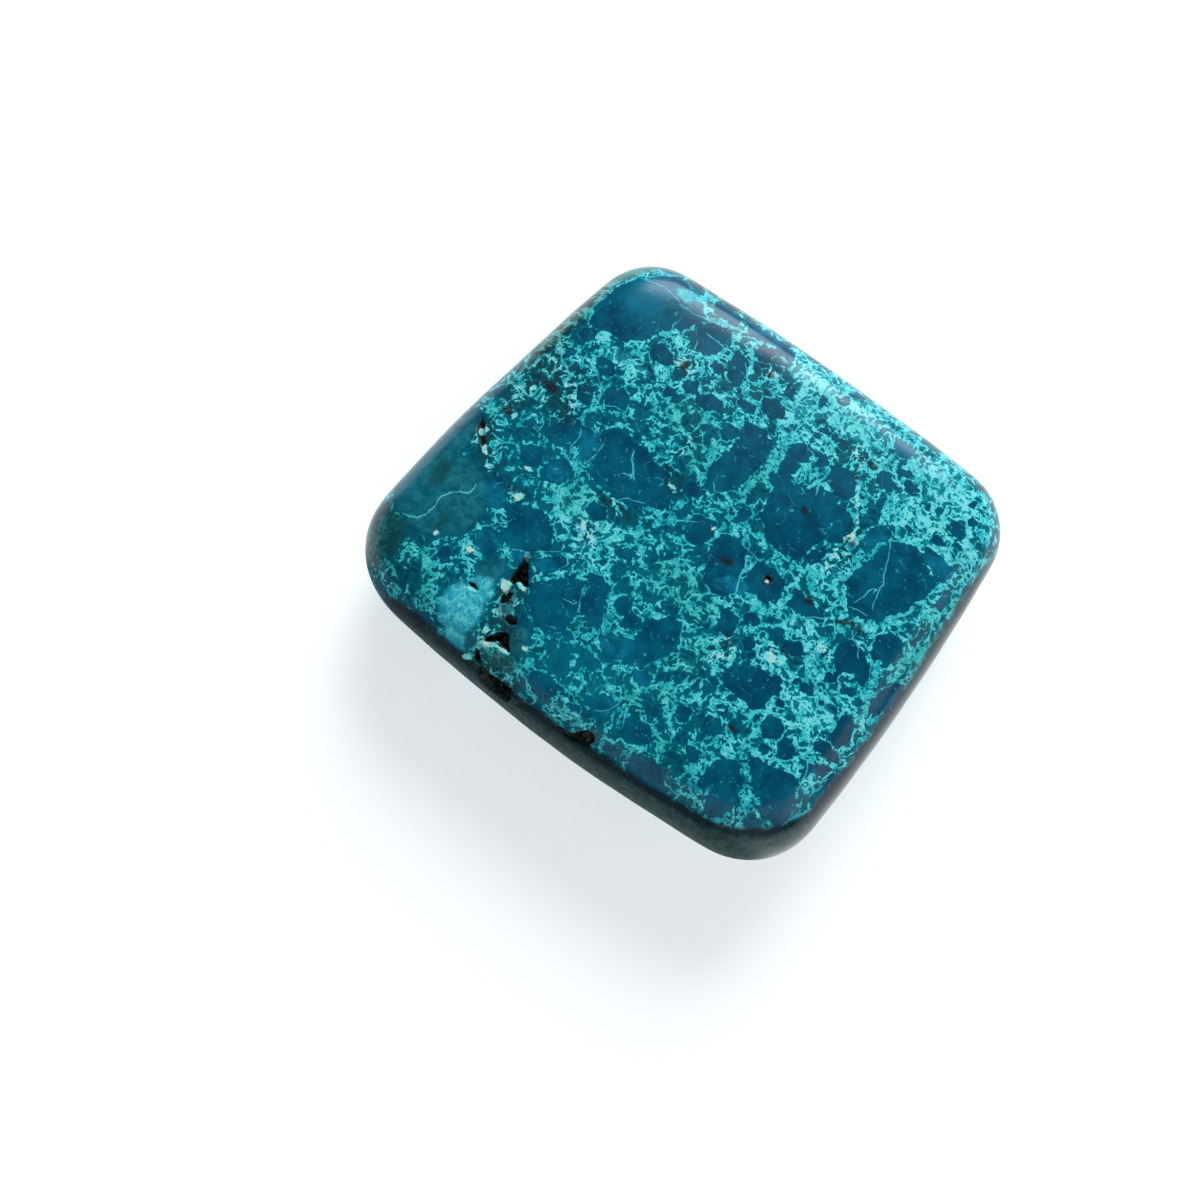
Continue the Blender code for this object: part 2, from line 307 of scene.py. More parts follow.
     (9.0, -5.0), (8.2, -5.4), (7.2, -5.3), (6.3, -5.2), (6.2, -4.7)],
    [(12.0, -4.6), (12.6, -4.2), (13.4, -4.3), (13.9, -4.6), (13.2, -4.9), (12.4, -4.9)],
    # lower right
    [(9.4, -4.9), (10.1, -4.8), (10.5, -5.3), (10.6, -5.9), (9.9, -6.2), (9.3, -5.6)],
    [(10.7, -5.7), (11.3, -5.3), (11.8, -5.6), (11.7, -6.2), (11.2, -6.5), (10.9, -6.1)],
    [(12.5, -5.7), (13.0, -5.4), (13.1, -6.3), (12.7, -6.6)],
    [(10.1, -6.6), (10.5, -6.3), (10.7, -6.7), (10.2, -6.9)],
    [(10.1, -7.4), (10.9, -7.2), (11.9, -6.9), (12.7, -6.7), (13.0, -7.2), (13.4, -8.0), (13.7, -8.7),
     (13.4, -9.3), (12.4, -9.4), (11.6, -9.2), (11.2, -8.6), (10.5, -8.2), (10.0, -7.8)],
    [(8.8, -8.5), (9.4, -8.1), (9.9, -8.2), (10.4, -8.8), (10.8, -9.2), (11.0, -10.0), (10.8, -10.9),
     (10.2, -11.2), (9.3, -10.5), (8.8, -10.2), (8.7, -9.3)],
    [(7.1, -9.1), (7.8, -9.0), (8.1, -9.6), (7.5, -9.7)],
    [(5.2, -11.2), (5.9, -10.9), (6.8, -11.0), (7.4, -11.4), (8.3, -11.5), (8.0, -12.2), (6.8, -12.2),
     (5.5, -12.2), (5.1, -11.8)],
    [(6.9, -7.2), (7.6, -6.9), (8.2, -7.3), (7.9, -7.9), (7.1, -8.0)],
    [(5.4, -7.6), (6.1, -7.6), (6.3, -8.2), (5.6, -8.3)],
    [(13.0, -5.2), (13.8, -5.1), (13.7, -5.8), (13.1, -5.7)],
    [(14.0, -5.2), (14.5, -4.9), (14.5, -6.1), (14.1, -6.2)],
]

# Blue pieces that let more light through, as outlines like the ones above
clearPiecesMm = [
    [(-8.6, 0.4), (-8.3, 1.0), (-7.6, 1.0), (-7.2, 0.9), (-6.9, 0.5), (-6.9, -0.3), (-7.0, -0.9),
     (-7.4, -0.7), (-7.9, -0.3)],
    [(-8.6, -2.3), (-8.4, -1.6), (-7.8, -1.5), (-7.3, -1.8), (-7.4, -2.4), (-8.0, -2.8)],
    [(-9.2, -7.5), (-8.8, -6.9), (-8.1, -6.9), (-7.5, -7.4), (-7.9, -8.0), (-8.6, -8.2)],
    [(-7.0, -7.1), (-6.1, -6.7), (-5.9, -6.9), (-6.1, -7.4), (-6.6, -7.5)],
    [(-5.8, -6.8), (-5.3, -6.2), (-4.6, -5.6), (-4.2, -5.6), (-4.4, -6.3), (-5.0, -7.0)],
    [(-0.2, -7.8), (0.2, -7.1), (1.1, -6.6), (1.7, -6.9), (1.5, -7.8), (0.6, -8.2)],
    [(10.1, 7.5), (10.7, 7.5), (11.3, 7.7), (12.2, 7.9), (12.5, 7.3), (12.1, 6.6), (11.8, 6.6),
     (11.3, 6.8), (10.6, 7.0)],
    [(7.5, 6.6), (7.7, 7.1), (8.3, 7.1), (8.4, 6.7), (8.1, 6.3)],
    [(2.3, -1.6), (3.3, -1.5), (4.2, -1.1), (4.4, -0.4), (3.8, -0.2), (2.9, -0.5)],
]

# Thick belts of turquoise: half width, then points x, y
beltsMm = [
    (0.22, [(0.8, 7.0), (1.0, 6.0), (0.6, 4.8), (0.8, 3.8), (0.8, 3.0), (0.5, 2.4)]),
    (0.3, [(0.5, 2.4), (-0.3, 1.8), (-1.3, 1.2), (-1.8, 0.3), (-1.9, -0.8), (-2.4, -1.6)]),
    (0.25, [(0.8, 2.6), (1.1, 1.2)]),
    (0.3, [(1.8, 2.0), (2.8, 2.3), (3.6, 1.8), (4.5, 1.7), (5.6, 1.9), (6.3, 2.4), (7.0, 1.8),
           (8.6, 1.8)]),
    (0.25, [(7.4, 2.9), (8.3, 2.6), (8.8, 2.0)]),
    (0.3, [(4.0, -1.4), (5.0, -1.1), (6.0, -0.7), (7.0, -0.4), (8.4, -0.4), (9.5, -0.6), (10.6, -1.1)]),
    (0.3, [(4.0, -1.6), (3.3, -2.1), (3.8, -2.7)]),
    (0.22, [(9.0, -7.0), (10.1, -7.9), (11.0, -8.7), (11.9, -9.0)]),
    (0.22, [(10.0, -7.1), (11.0, -6.9), (12.2, -6.4), (12.3, -5.4), (13.4, -5.0), (13.9, -4.8)]),
    (0.2, [(9.2, -5.8), (9.6, -6.4), (9.2, -7.1)]),
    (0.3, [(12.2, 0.9), (12.7, -0.3), (12.9, -1.2), (13.5, -2.0), (14.0, -2.8)]),
    (0.3, [(13.1, 2.7), (13.4, 1.4), (13.2, 0.7)]),
    (0.12, [(11.2, 3.2), (11.6, 2.6), (12.3, 3.1), (12.8, 3.4)]),
    (0.35, [(-2.2, 5.0), (-2.0, 4.0), (-1.9, 3.2), (-1.5, 2.5)]),
    (0.25, [(-5.3, 2.3), (-4.4, 2.3), (-3.4, 2.4)]),
    (0.18, [(8.4, -10.5), (9.2, -11.4)]),
    (0.12, [(9.5, -10.4), (9.8, -11.0)]),
    (0.25, [(2.4, 7.7), (2.5, 7.2), (2.2, 6.9)]),
    (0.2, [(2.6, 6.1), (2.9, 6.2), (3.1, 5.9)]),
    (0.3, [(7.0, 5.6), (7.0, 4.4), (6.8, 3.4), (7.1, 2.4)]),
    (0.15, [(-8.7, 2.2), (-8.2, 2.4), (-7.4, 2.6), (-7.1, 3.2)]),
    (0.25, [(-0.1, -12.5), (0.8, -12.2), (1.8, -11.8), (2.6, -11.6)]),
    (0.2, [(0.0, -12.4), (0.3, -11.8), (0.1, -11.2), (1.2, -10.9)]),
]

# Fine veins: half width, then points x, y
veinsMm = [
    (0.05, [(8.5, 6.6), (9.0, 5.9), (9.35, 5.1), (9.7, 4.5), (9.85, 3.8), (10.1, 3.1)]),
    (0.03, [(9.7, 4.4), (9.4, 3.8), (9.3, 3.3), (9.05, 2.6)]),
    (0.03, [(9.1, 2.3), (9.6, 2.55), (10.1, 2.5)]),
    (0.08, [(5.1, 8.2), (5.5, 7.7), (5.8, 7.1), (6.2, 6.7), (6.6, 6.2), (6.7, 5.7), (6.9, 5.3)]),
    (0.07, [(12.0, 5.3), (11.85, 4.6), (11.7, 3.9), (11.1, 3.3)]),
    (0.06, [(-12.9, -9.2), (-12.3, -9.0), (-12.0, -8.5), (-11.9, -7.8), (-12.05, -7.2), (-11.8, -6.8),
            (-11.4, -6.3), (-10.9, -6.0), (-10.9, -5.6)]),
    (0.05, [(-11.7, 10.0), (-11.1, 10.2), (-10.4, 10.35), (-9.6, 10.2), (-8.9, 10.0), (-8.1, 10.1),
            (-7.3, 10.3)]),
    (0.09, [(-7.3, 10.3), (-6.7, 10.6), (-6.0, 10.9), (-5.3, 11.1)]),
    (0.07, [(-5.9, 10.8), (-5.5, 10.3), (-5.1, 10.0)]),
    (0.07, [(-11.6, 10.3), (-11.1, 10.9), (-10.5, 11.5)]),
    (0.06, [(-5.4, 1.4), (-5.2, 1.1), (-4.8, 0.7), (-4.5, 0.4)]),
    (0.05, [(-4.7, 0.3), (-5.0, 0.2)]),
    (0.03, [(-4.3, -1.1), (-3.9, -0.7), (-3.1, -0.4)]),
    (0.03, [(-1.5, -0.2), (-0.9, 0.2), (-0.4, 0.5), (0.0, 0.9)]),
    (0.03, [(2.6, 1.2), (3.6, 1.2), (3.75, 0.5), (3.5, -0.2)]),
    (0.06, [(3.0, 0.9), (3.4, 0.4), (3.5, -0.3), (3.9, -1.0)]),
    (0.05, [(0.3, 7.5), (0.6, 7.2), (0.8, 6.7)]),
    (0.04, [(-0.9, 2.9), (-0.5, 2.6), (-0.1, 2.9)]),
    (0.05, [(1.7, 8.0), (2.2, 7.8), (2.6, 7.5)]),
    (0.05, [(3.3, 7.9), (3.3, 7.3), (3.2, 6.9)]),
    (0.07, [(3.5, 6.8), (3.6, 6.4), (3.7, 6.2)]),
    (0.05, [(-6.7, 9.6), (-5.9, 9.6), (-5.5, 9.6), (-5.3, 9.2)]),
    (0.04, [(-4.0, 9.6), (-3.5, 9.1), (-3.1, 8.4)]),
    (0.04, [(-6.9, 8.8), (-6.7, 8.4)]),
    (0.04, [(-8.5, 9.3), (-8.5, 8.8), (-8.4, 8.4)]),
    (0.05, [(-10.6, 3.2), (-10.0, 3.7), (-9.3, 3.4), (-9.0, 2.8), (-8.7, 2.2)]),
    (0.04, [(-8.4, 2.6), (-8.0, 2.9), (-7.6, 2.9)]),
    (0.04, [(-8.5, 0.7), (-8.3, 0.2), (-8.3, -0.5), (-8.0, -0.9)]),
    (0.04, [(-7.1, 1.0), (-6.95, 0.5), (-6.95, -0.4), (-7.1, -0.8)]),
    (0.04, [(-7.6, -0.8), (-7.2, -1.3), (-7.0, -1.6)]),
    (0.05, [(-10.8, 0.0), (-10.4, -0.3), (-10.3, -0.8)]),
    (0.04, [(-8.8, -6.4), (-8.3, -6.2), (-8.1, -5.8)]),
    (0.03, [(-7.0, -7.0), (-6.3, -6.6), (-5.6, -6.0), (-5.0, -5.5)]),
    (0.05, [(-2.6, -6.2), (-2.3, -6.8), (-2.1, -7.2)]),
    (0.04, [(-3.0, -7.3), (-2.5, -7.15)]),
    (0.04, [(-2.8, -9.0), (-2.4, -8.8)]),
    (0.04, [(-0.8, -6.6), (-0.5, -7.0), (-0.2, -7.4)]),
    (0.04, [(3.4, -9.8), (3.6, -10.2), (3.8, -10.6)]),
    (0.04, [(2.2, -10.8), (2.7, -10.4), (2.8, -9.8), (2.9, -9.2)]),
    (0.04, [(5.1, -11.3), (5.2, -11.8), (5.1, -12.2)]),
    (0.04, [(12.5, -5.6), (12.9, -6.2), (13.0, -6.9), (13.2, -7.4)]),
    (0.04, [(10.2, 1.5), (10.3, 1.0), (10.8, 0.9), (11.1, 0.5)]),
    (0.05, [(11.7, 0.9), (12.0, 0.5), (12.3, 0.0)]),
    (0.04, [(6.1, 1.2), (6.2, 0.6), (6.3, 0.0), (5.9, -0.5)]),
    (0.04, [(7.4, 0.2), (8.0, 0.6), (8.6, 1.1)]),
]

# Other marks in the top face, as ovals: x, y, half length, half width, turn in degrees.
# Each list becomes a mesh attribute that holds the distance in mm to its nearest oval, below 0 inside.
marksMm = {
    # where the turquoise runs together
    "solid": [
        (2.8, 11.1, 2.3, 1.2, 0), (-0.4, 11.6, 1.6, 0.8, 0), (0.2, 9.4, 1.2, 1.2, 0),
        (8.9, 11.3, 2.0, 1.1, 0), (9.9, 8.3, 1.2, 0.8, -20), (11.0, 10.6, 0.6, 0.6, 0),
        (-7.4, 8.2, 0.8, 0.5, -40), (-9.3, 5.4, 1.8, 0.5, 0), (-3.3, -3.7, 1.6, 1.2, 0),
        (-5.9, -3.2, 1.6, 0.9, 0), (8.0, -0.5, 1.4, 0.5, 0), (7.6, -2.7, 0.9, 0.5, 0),
        (10.9, -3.4, 1.8, 0.9, 0), (7.2, 3.0, 0.9, 1.1, 0), (5.4, -4.2, 0.7, 1.2, 0),
        (-4.0, -6.1, 0.4, 0.4, 0), (-6.0, -4.8, 0.9, 0.5, -30), (8.0, 8.6, 0.8, 1.2, 0),
        (4.3, -5.4, 0.6, 0.8, 0),
    ],
    # green-black and brown ground
    "dark": [
        (-11.2, 2.0, 1.6, 1.6, 0), (-12.6, 0.6, 0.9, 1.6, 0), (-12.0, -3.2, 1.8, 0.8, -35),
        (-13.1, 3.0, 0.9, 1.6, 0), (-10.0, 0.9, 1.0, 0.8, 0), (-5.3, -9.3, 0.8, 1.3, 20),
        (-4.4, -11.0, 1.2, 1.2, 0), (-6.6, 7.2, 0.7, 0.7, 0), (6.9, 4.6, 0.5, 1.5, 0),
        (7.9, -2.0, 0.7, 0.3, 0), (-3.4, 3.8, 0.4, 0.7, 0), (4.2, 9.4, 0.7, 0.4, 0),
        (-2.6, 10.1, 0.5, 0.4, 0), (-4.2, -1.6, 1.3, 0.4, 0), (-3.0, -13.0, 1.8, 0.7, 0),
        (9.4, -0.6, 0.5, 0.4, 0), (-4.5, -3.6, 0.7, 0.5, 0), (-9.0, -4.5, 0.6, 0.4, 0),
        (-2.6, 1.5, 0.9, 0.4, -40), (5.2, -3.9, 0.6, 0.9, 0),
    ],
    # powdery pale blue, and at (-9.0, 10.8) a painted highlight by the -X, +Y corner
    "powder": [
        (-7.1, -11.2, 1.2, 1.4, 20), (-6.9, -9.8, 0.7, 0.9, 0), (-6.4, -12.5, 0.8, 0.5, -20),
        (-9.0, 10.8, 0.8, 0.4, 20),
    ],
    # pieces that let more light through
    "clear": [
        (-8.8, 10.6, 1.2, 0.6, 0), (-7.0, -8.2, 0.8, 1.6, 0), (-3.1, -3.2, 1.0, 0.4, 0),
        (7.8, 6.1, 0.4, 1.0, 0), (-11.0, 9.8, 0.9, 0.7, 40), (-3.8, 11.8, 2.0, 0.4, 0),
        (5.9, 11.4, 0.8, 0.6, 0), (3.0, -8.0, 0.8, 0.5, 0), (0.6, -9.6, 2.4, 1.2, 0),
        (-0.5, -3.6, 1.6, 1.0, 0), (-9.8, -5.0, 0.9, 0.9, 0), (12.5, -0.6, 0.5, 0.5, 0),
        (-10.2, 9.5, 1.3, 0.9, 35), (-11.2, 8.6, 0.8, 0.6, 60),
    ],
    # greener lace
    "green": [
        (-6.0, -2.6, 2.0, 1.0, 0), (-11.0, -11.0, 2.2, 1.4, 0), (1.5, -2.8, 2.6, 1.2, 0),
        (3.6, -8.4, 1.4, 1.2, 0), (-2.4, 3.6, 0.9, 1.8, 0), (0.7, 4.5, 0.5, 2.4, 0),
        (-4.4, -11.6, 1.6, 1.4, 0), (-12.8, 2.0, 1.0, 6.0, 0), (6.8, -9.8, 1.6, 0.8, 0),
        (13.6, 4.0, 0.8, 4.0, 0), (4.4, -5.6, 0.9, 1.4, 0), (-4.6, 5.0, 1.2, 1.2, 0),
    ],
    # worn olive rim
    "olive": [
        (-13.4, -10.6, 1.6, 1.2, -40), (-13.0, -6.1, 0.5, 0.9, 10), (-12.5, -9.6, 0.4, 0.3, 0),
        (13.9, 6.5, 0.45, 4.2, 4), (-11.0, -8.3, 0.3, 0.5, 0), (-5.3, -9.4, 0.4, 1.0, 20),
        (-13.6, -12.2, 0.8, 1.2, -45), (-3.4, -11.9, 0.8, 0.5, 30),
    ],
    # paler green of the worn corner
    "sage": [
        (-13.0, 10.2, 0.75, 2.3, -35), (-11.3, 11.9, 1.3, 0.5, 25),
    ],
    # smooth cloudy teal with no lace
    "calm": [
        (-12.3, -7.0, 2.7, 2.4, 0), (-13.8, -4.4, 0.9, 2.2, 0), (-3.5, -10.6, 0.6, 0.8, 0),
        (-7.1, -8.8, 0.7, 0.9, 0),
    ],
    # rust and soot spots
    "rust": [
        (4.75, 0.65, 0.27, 0.2, 0), (2.4, -0.1, 0.5, 0.18, 10), (-2.5, 10.0, 0.22, 0.18, 0),
        (-6.5, 7.3, 0.3, 0.2, 0), (3.9, 4.95, 0.3, 0.2, 0), (7.1, 1.1, 0.35, 0.2, 0),
        (9.4, 1.5, 0.6, 0.15, 20), (5.1, 9.5, 0.35, 0.18, 0), (8.4, -7.0, 0.35, 0.15, -10),
        (-3.4, 2.1, 0.3, 0.12, 0), (10.2, 1.8, 0.4, 0.15, 0), (-11.5, 1.6, 0.4, 0.3, 0),
        (-12.4, -1.0, 0.4, 0.3, 0), (-9.1, -4.4, 0.3, 0.1, 0), (4.55, 8.85, 0.22, 0.12, -52),
        (4.9, 8.35, 0.22, 0.12, -52), (5.15, 8.1, 0.14, 0.1, 0), (7.0, 5.15, 0.26, 0.16, -60),
        (5.7, 7.15, 0.1, 0.08, 0), (6.3, 6.15, 0.12, 0.08, 0), (1.2, -2.2, 0.15, 0.1, 0),
        (6.9, 10.4, 0.35, 0.07, -15),
    ],
    # chalky crumbs at the lips of the hollows
    "cream": [
        (-5.9, -8.7, 0.24, 0.32, 10), (-5.25, -8.2, 0.32, 0.16, -15), (-5.2, -11.2, 0.22, 0.14, 60),
        (-4.6, -11.75, 0.55, 0.13, 30), (-3.75, -11.5, 0.3, 0.1, -5), (-7.3, -10.02, 0.25, 0.08, 0),
        (-12.7, -2.75, 0.25, 0.2, 40), (-11.9, -3.6, 0.35, 0.12, -50), (-2.9, -10.6, 0.2, 0.16, 0),
        (-8.8, -8.35, 0.22, 0.18, 0), (-10.9, -8.9, 0.13, 0.13, 0), (-8.7, -4.5, 0.25, 0.18, 30),
        (7.5, -2.6, 0.3, 0.25, 0), (8.1, -2.3, 0.25, 0.2, 0), (-2.55, 1.25, 0.22, 0.12, 0),
        (0.7, 0.9, 0.09, 0.13, 0), (5.35, 7.8, 0.22, 0.11, -50), (5.6, 7.42, 0.16, 0.1, -60),
        (5.9, 7.05, 0.26, 0.11, -50), (6.15, 6.7, 0.17, 0.09, -60), (6.4, 6.38, 0.24, 0.12, -55),
        (6.65, 6.0, 0.16, 0.12, -70), (6.8, 5.5, 0.22, 0.12, -75), (6.5, 5.2, 0.14, 0.1, 0),
        (4.75, 0.62, 0.07, 0.05, 0), (-12.2, 0.9, 0.14, 0.22, 0), (-11.9, -1.0, 0.13, 0.28, 0),
        (-9.3, -2.9, 0.3, 0.13, 20), (7.2, -6.5, 0.3, 0.09, 15), (-6.1, -6.8, 0.12, 0.1, 0),
        (-5.2, -12.9, 0.25, 0.12, 20),
    ],
    # fibres seen along their length
    "fibre": [
        (-13.45, 6.0, 0.55, 4.6, 0), (-7.6, 12.2, 2.3, 0.3, 4),
    ],
}

# Where the lace is fuller or thinner, and fuller and brighter along the +Y edge, which is partly painted
# light from the window side: x, y, how far it reaches and how much
lushAndLitMm = [
    (-6.0, 8.5, 3.0, 0.35), (-1.0, 11.0, 3.0, 0.6), (4.0, 11.0, 3.0, 0.6), (9.5, 10.5, 3.0, 0.6),
    (11.5, 7.0, 2.5, 0.5), (-4.5, -3.0, 2.2, 0.3), (10.5, -3.5, 2.5, 0.5), (7.5, 1.0, 2.0, 0.1),
    (12.0, 2.0, 2.0, 0.1), (-9.5, 5.5, 2.5, 0.3), (10.5, -10.5, 3.0, -0.4), (-9.5, -1.5, 3.5, -0.5),
    (1.0, -9.0, 4.0, -0.4), (-2.0, -7.0, 3.0, -0.05), (-8.0, -8.5, 3.0, -0.2), (-1.5, 1.5, 3.5, -0.4),
    (6.5, -12.0, 3.0, -0.3), (0.9, -11.8, 1.2, 0.5),
]

# Where the blue is lighter or deeper, in the same way
lightMm = [
    (0.5, -9.5, 3.5, 0.2), (-8.0, -1.5, 2.5, 0.1), (4.0, 11.0, 3.0, 0.15), (-11.0, 9.5, 2.0, 0.15),
    (5.5, 2.5, 2.0, -0.12), (10.5, 1.0, 2.0, -0.1), (13.5, -3.0, 3.0, -0.15), (8.0, -4.5, 1.8, -0.1),
]

# The hidden faces get pieces and patches of their own, scattered by this seed
hiddenFaces = {
    "seed": 7,
    "pieces": 420,
    "bluePart": 0.5,
    "lipMm": 0.32,             # how much lace there is around a blue piece
    "groundMm": 1.0,           # what the lacy ground between the pieces counts as
    "awayMm": 5,               # the top face's marks are pushed this far off on the sides, and theirs on top
    "veinAway": 50,            # and how far the veins are, in half widths
    # each kind: how many, and their least and greatest radius in mm
    "patches": {
        "solid": (70, 0.4, 1.6), "dark": (50, 0.4, 1.6), "clear": (40, 0.4, 1.6), "rust": (90, 0.08, 0.4),
        "green": (60, 0.4, 1.6), "olive": (12, 0.4, 1.4),
    },
    "boxMm": ((-15.5, -14.0, 0.0), (15.5, 14.0, 6.0)),
}

# Noise that bends the outlines: how often it turns in each mm, and how far it moves what
outlineBends = {
    "seed": 7,
    "broadPerMm": 0.7,
    "finePerMm": 2.2,
    "broadMm": 0.1,
    "fineMm": 0.12,
    "veinMm": 0.1,
    "hiddenMm": 0.6,
}

# The two near sides are duller, with painted shade where their band starts and a painted reflection of the
# table further out. A surface gets it by how it faces: a pair of weights for X and Y gives each place a sum,
# and the band comes in as that sum grows between two values.
rimShading = {
    "towards": (0.65, -0.62),
    "between": (0.33, 0.63),
    "edge": (0.3, 0.7),            # makes its border crisper
    "cover": (0.8, 0.95),          # low down, and at the top
    "patchy": (0.7, 0.4),          # how far broad and fine noise move its border low down
    "paleTowards": (0.72, -0.7),   # its paler outer part, a painted reflection of the table
    "paleBetween": (0.63, 0.72),
    "paleLowDown": 0.7,
    "dullBetween": (0.58, 0.83),   # the polish goes as the surface turns to -Y
    "dullest": 0.85,
    "sideBetween": (0.625, 0.0),   # painted shade: all sides are a little darker, by how little they face up
    "sideCover": 0.6,
}


def ovalDistance(x, y, ovals):
    nearest = np.full(len(x), farMm)
    for centreX, centreY, halfX, halfY, degrees in ovals:
        turn = math.radians(degrees)
        dx, dy = x - centreX, y - centreY
        along = (dx * math.cos(turn) + dy * math.sin(turn)) / halfX
        across = (dy * math.cos(turn) - dx * math.sin(turn)) / halfY
        nearest = np.minimum(nearest, (np.hypot(along, across) - 1) * math.sqrt(halfX * halfY))
    return nearest


def zoneSum(x, y, zones):
    total = np.zeros(len(x))
    for centreX, centreY, reach, amount in zones:
        total += amount * np.exp(-((x - centreX) ** 2 + (y - centreY) ** 2) / reach ** 2)
    return total


def ballDistance(places, middles, halves):
    nearest = np.full(len(places), farMm)
    for middle, half in zip(middles, halves):
        nearest = np.minimum(nearest, np.linalg.norm(places - middle, axis=1) - half)
    return nearest


# Distance to each straight run between two points, and whether the place is on its left
def runDistance(x, y, start, end):
    runX, runY = end[0] - start[0], end[1] - start[1]
    dx, dy = x - start[0], y - start[1]
    along = np.clip((dx * runX + dy * runY) / (runX ** 2 + runY ** 2), 0, 1)
    return np.hypot(dx - runX * along, dy - runY * along), runX * dy > runY * dx


# Distance to the nearest edge of any piece, below 0 inside it
def pieceDistance(x, y, pieces):
    nearest = np.full(len(x), farMm)
    for corners in pieces:
        toEdge = np.full(len(x), farMm)
        inside = np.zeros(len(x), bool)
        for start, end in zip(corners, corners[1:] + corners[:1]):
            toRun, _ = runDistance(x, y, start, end)
            toEdge = np.minimum(toEdge, toRun)
            if start[1] != end[1]:
                crossing = start[0] + (y - start[1]) * (end[0] - start[0]) / (end[1] - start[1])
                inside ^= ((start[1] > y) != (end[1] > y)) & (x < crossing)
        nearest = np.minimum(nearest, np.where(inside, -toEdge, toEdge))
    return nearest


# Distance past the half width of the nearest belt, below 0 inside it
def beltDistance(x, y, belts):
    nearest = np.full(len(x), farMm)
    for half, points in belts:
        for start, end in zip(points, points[1:]):
            toRun, _ = runDistance(x, y, start, end)
            nearest = np.minimum(nearest, toRun - half)
    return nearest


# How many half widths it is to the nearest vein, above 0 on its left and below 0 on its right
def veinDistance(x, y, veins):
    nearest = np.full(len(x), farMm)
    for half, points in veins:
        for start, end in zip(points, points[1:]):
            toRun, onLeft = runDistance(x, y, start, end)
            signed = np.where(onLeft, toRun, -toRun) / half
            nearest = np.where(abs(signed) < abs(nearest), signed, nearest)
    return nearest


# Below 0 inside the scattered pieces of the hidden faces
def scatteredDistance(places, chance):
    low, high = hiddenFaces["boxMm"]
    middles = chance.uniform(low, high, (hiddenFaces["pieces"], 3))
    tree = kdtree.KDTree(len(middles))
    for index, middle in enumerate(middles):
        tree.insert(middle, index)
    tree.balance()
    isBlue = chance.random(len(middles)) < hiddenFaces["bluePart"]
    distance = np.empty(len(places))
    for index, place in enumerate(places):
        (nearA, cellA, farA), (nearB, _, farB) = tree.find_n(place, 2)
        wall = (farB ** 2 - farA ** 2) / (2 * (nearB - nearA).length)
        distance[index] = hiddenFaces["lipMm"] - wall if isBlue[cellA] else hiddenFaces["groundMm"]
    return distance


# How a surface faces: the sum of its normal's X and Y, each times its own weight
def facing(normals, weights):
    return normals[:, 0] * weights[0] + normals[:, 1] * weights[1]


def mapSides(stone, normals, onTop, bends, frets):
    look = rimShading
    lowDown = 1 - onTop
    patchy = (bends[:, 0] * look["patchy"][0] + frets[:, 0] * look["patchy"][1]) * lowDown
    skin = eased(rise(facing(normals, look["towards"]) + patchy, *look["between"]))
    least, most = look["cover"]
    cover = least + (most - least) * onTop
    pale = rise(facing(normals, look["paleTowards"]), *look["paleBetween"])
    dull = rise(-normals[:, 1], *look["dullBetween"])
    # painted shade where the band starts, then a painted reflection of the table further out
    storeMap(stone, "skin", eased(rise(skin, *look["edge"])) * cover)
    storeMap(stone, "pale", pale + look["paleLowDown"] * lowDown)
    storeMap(stone, "dull", np.minimum(dull, look["dullest"]))
    # painted shade: every side a little darker, by how little it faces up
    storeMap(stone, "side", rise(abs(normals[:, 2]), *look["sideBetween"]) * look["sideCover"])


# Writes every map to the mesh but the hollows' own
def mapStone(stone, places, normals):
    chance = np.random.default_rng(hiddenFaces["seed"])
    noise.seed_set(outlineBends["seed"])         # noise_vector would differ from run to run without it
    onTop = topShare(places)
    bends = np.array([noise.noise_vector(Vector(p) * outlineBends["broadPerMm"]) for p in places])
    frets = np.array([noise.noise_vector(Vector(p) * outlineBends["finePerMm"]) for p in places])
    bent = places + bends * outlineBends["broadMm"] + frets * outlineBends["fineMm"]
    x, y = bent[:, 0], bent[:, 1]
    away = hiddenFaces["awayMm"] * (1 - onTop)
    hidden = scatteredDistance(bent + bends * outlineBends["hiddenMm"], chance)
    drawn = pieceDistance(x, y, bluePiecesMm + clearPiecesMm)
    storeMap(stone, "clast", drawn * onTop + hidden * (1 - onTop))
    storeMap(stone, "pane", pieceDistance(x, y, clearPiecesMm) + away)
    storeMap(stone, "belt", beltDistance(x, y, beltsMm) + away)
    for name, ovals in marksMm.items():
        distance = ovalDistance(x, y, ovals) + away
        if name in hiddenFaces["patches"]:
            count, least, greatest = hiddenFaces["patches"][name]
            middles = chance.uniform(*hiddenFaces["boxMm"], (count, 3))
            halves = chance.uniform(least, greatest, count)
            patches = ballDistance(bent, middles, halves) + hiddenFaces["awayMm"] * onTop
            distance = np.minimum(distance, patches)
        storeMap(stone, name, distance)
    storeMap(stone, "lush", zoneSum(x, y, lushAndLitMm) * onTop)
    storeMap(stone, "light", zoneSum(x, y, lightMm) * onTop)
    veinX = places[:, 0] + frets[:, 0] * outlineBends["veinMm"]
    veinY = places[:, 1] + frets[:, 1] * outlineBends["veinMm"]
    vein = veinDistance(veinX, veinY, veinsMm)
    storeMap(stone, "veinAcross", vein)
    storeMap(stone, "veinNear", abs(vein) + hiddenFaces["veinAway"] * (1 - onTop))
    mapSides(stone, normals, onTop, bends, frets)


# Noise at each place, from -1 to 1, that turns over once in about sizeMm
def wave(places, sizeMm):
    return np.array([noise.noise(Vector(p) / sizeMm) for p in places])


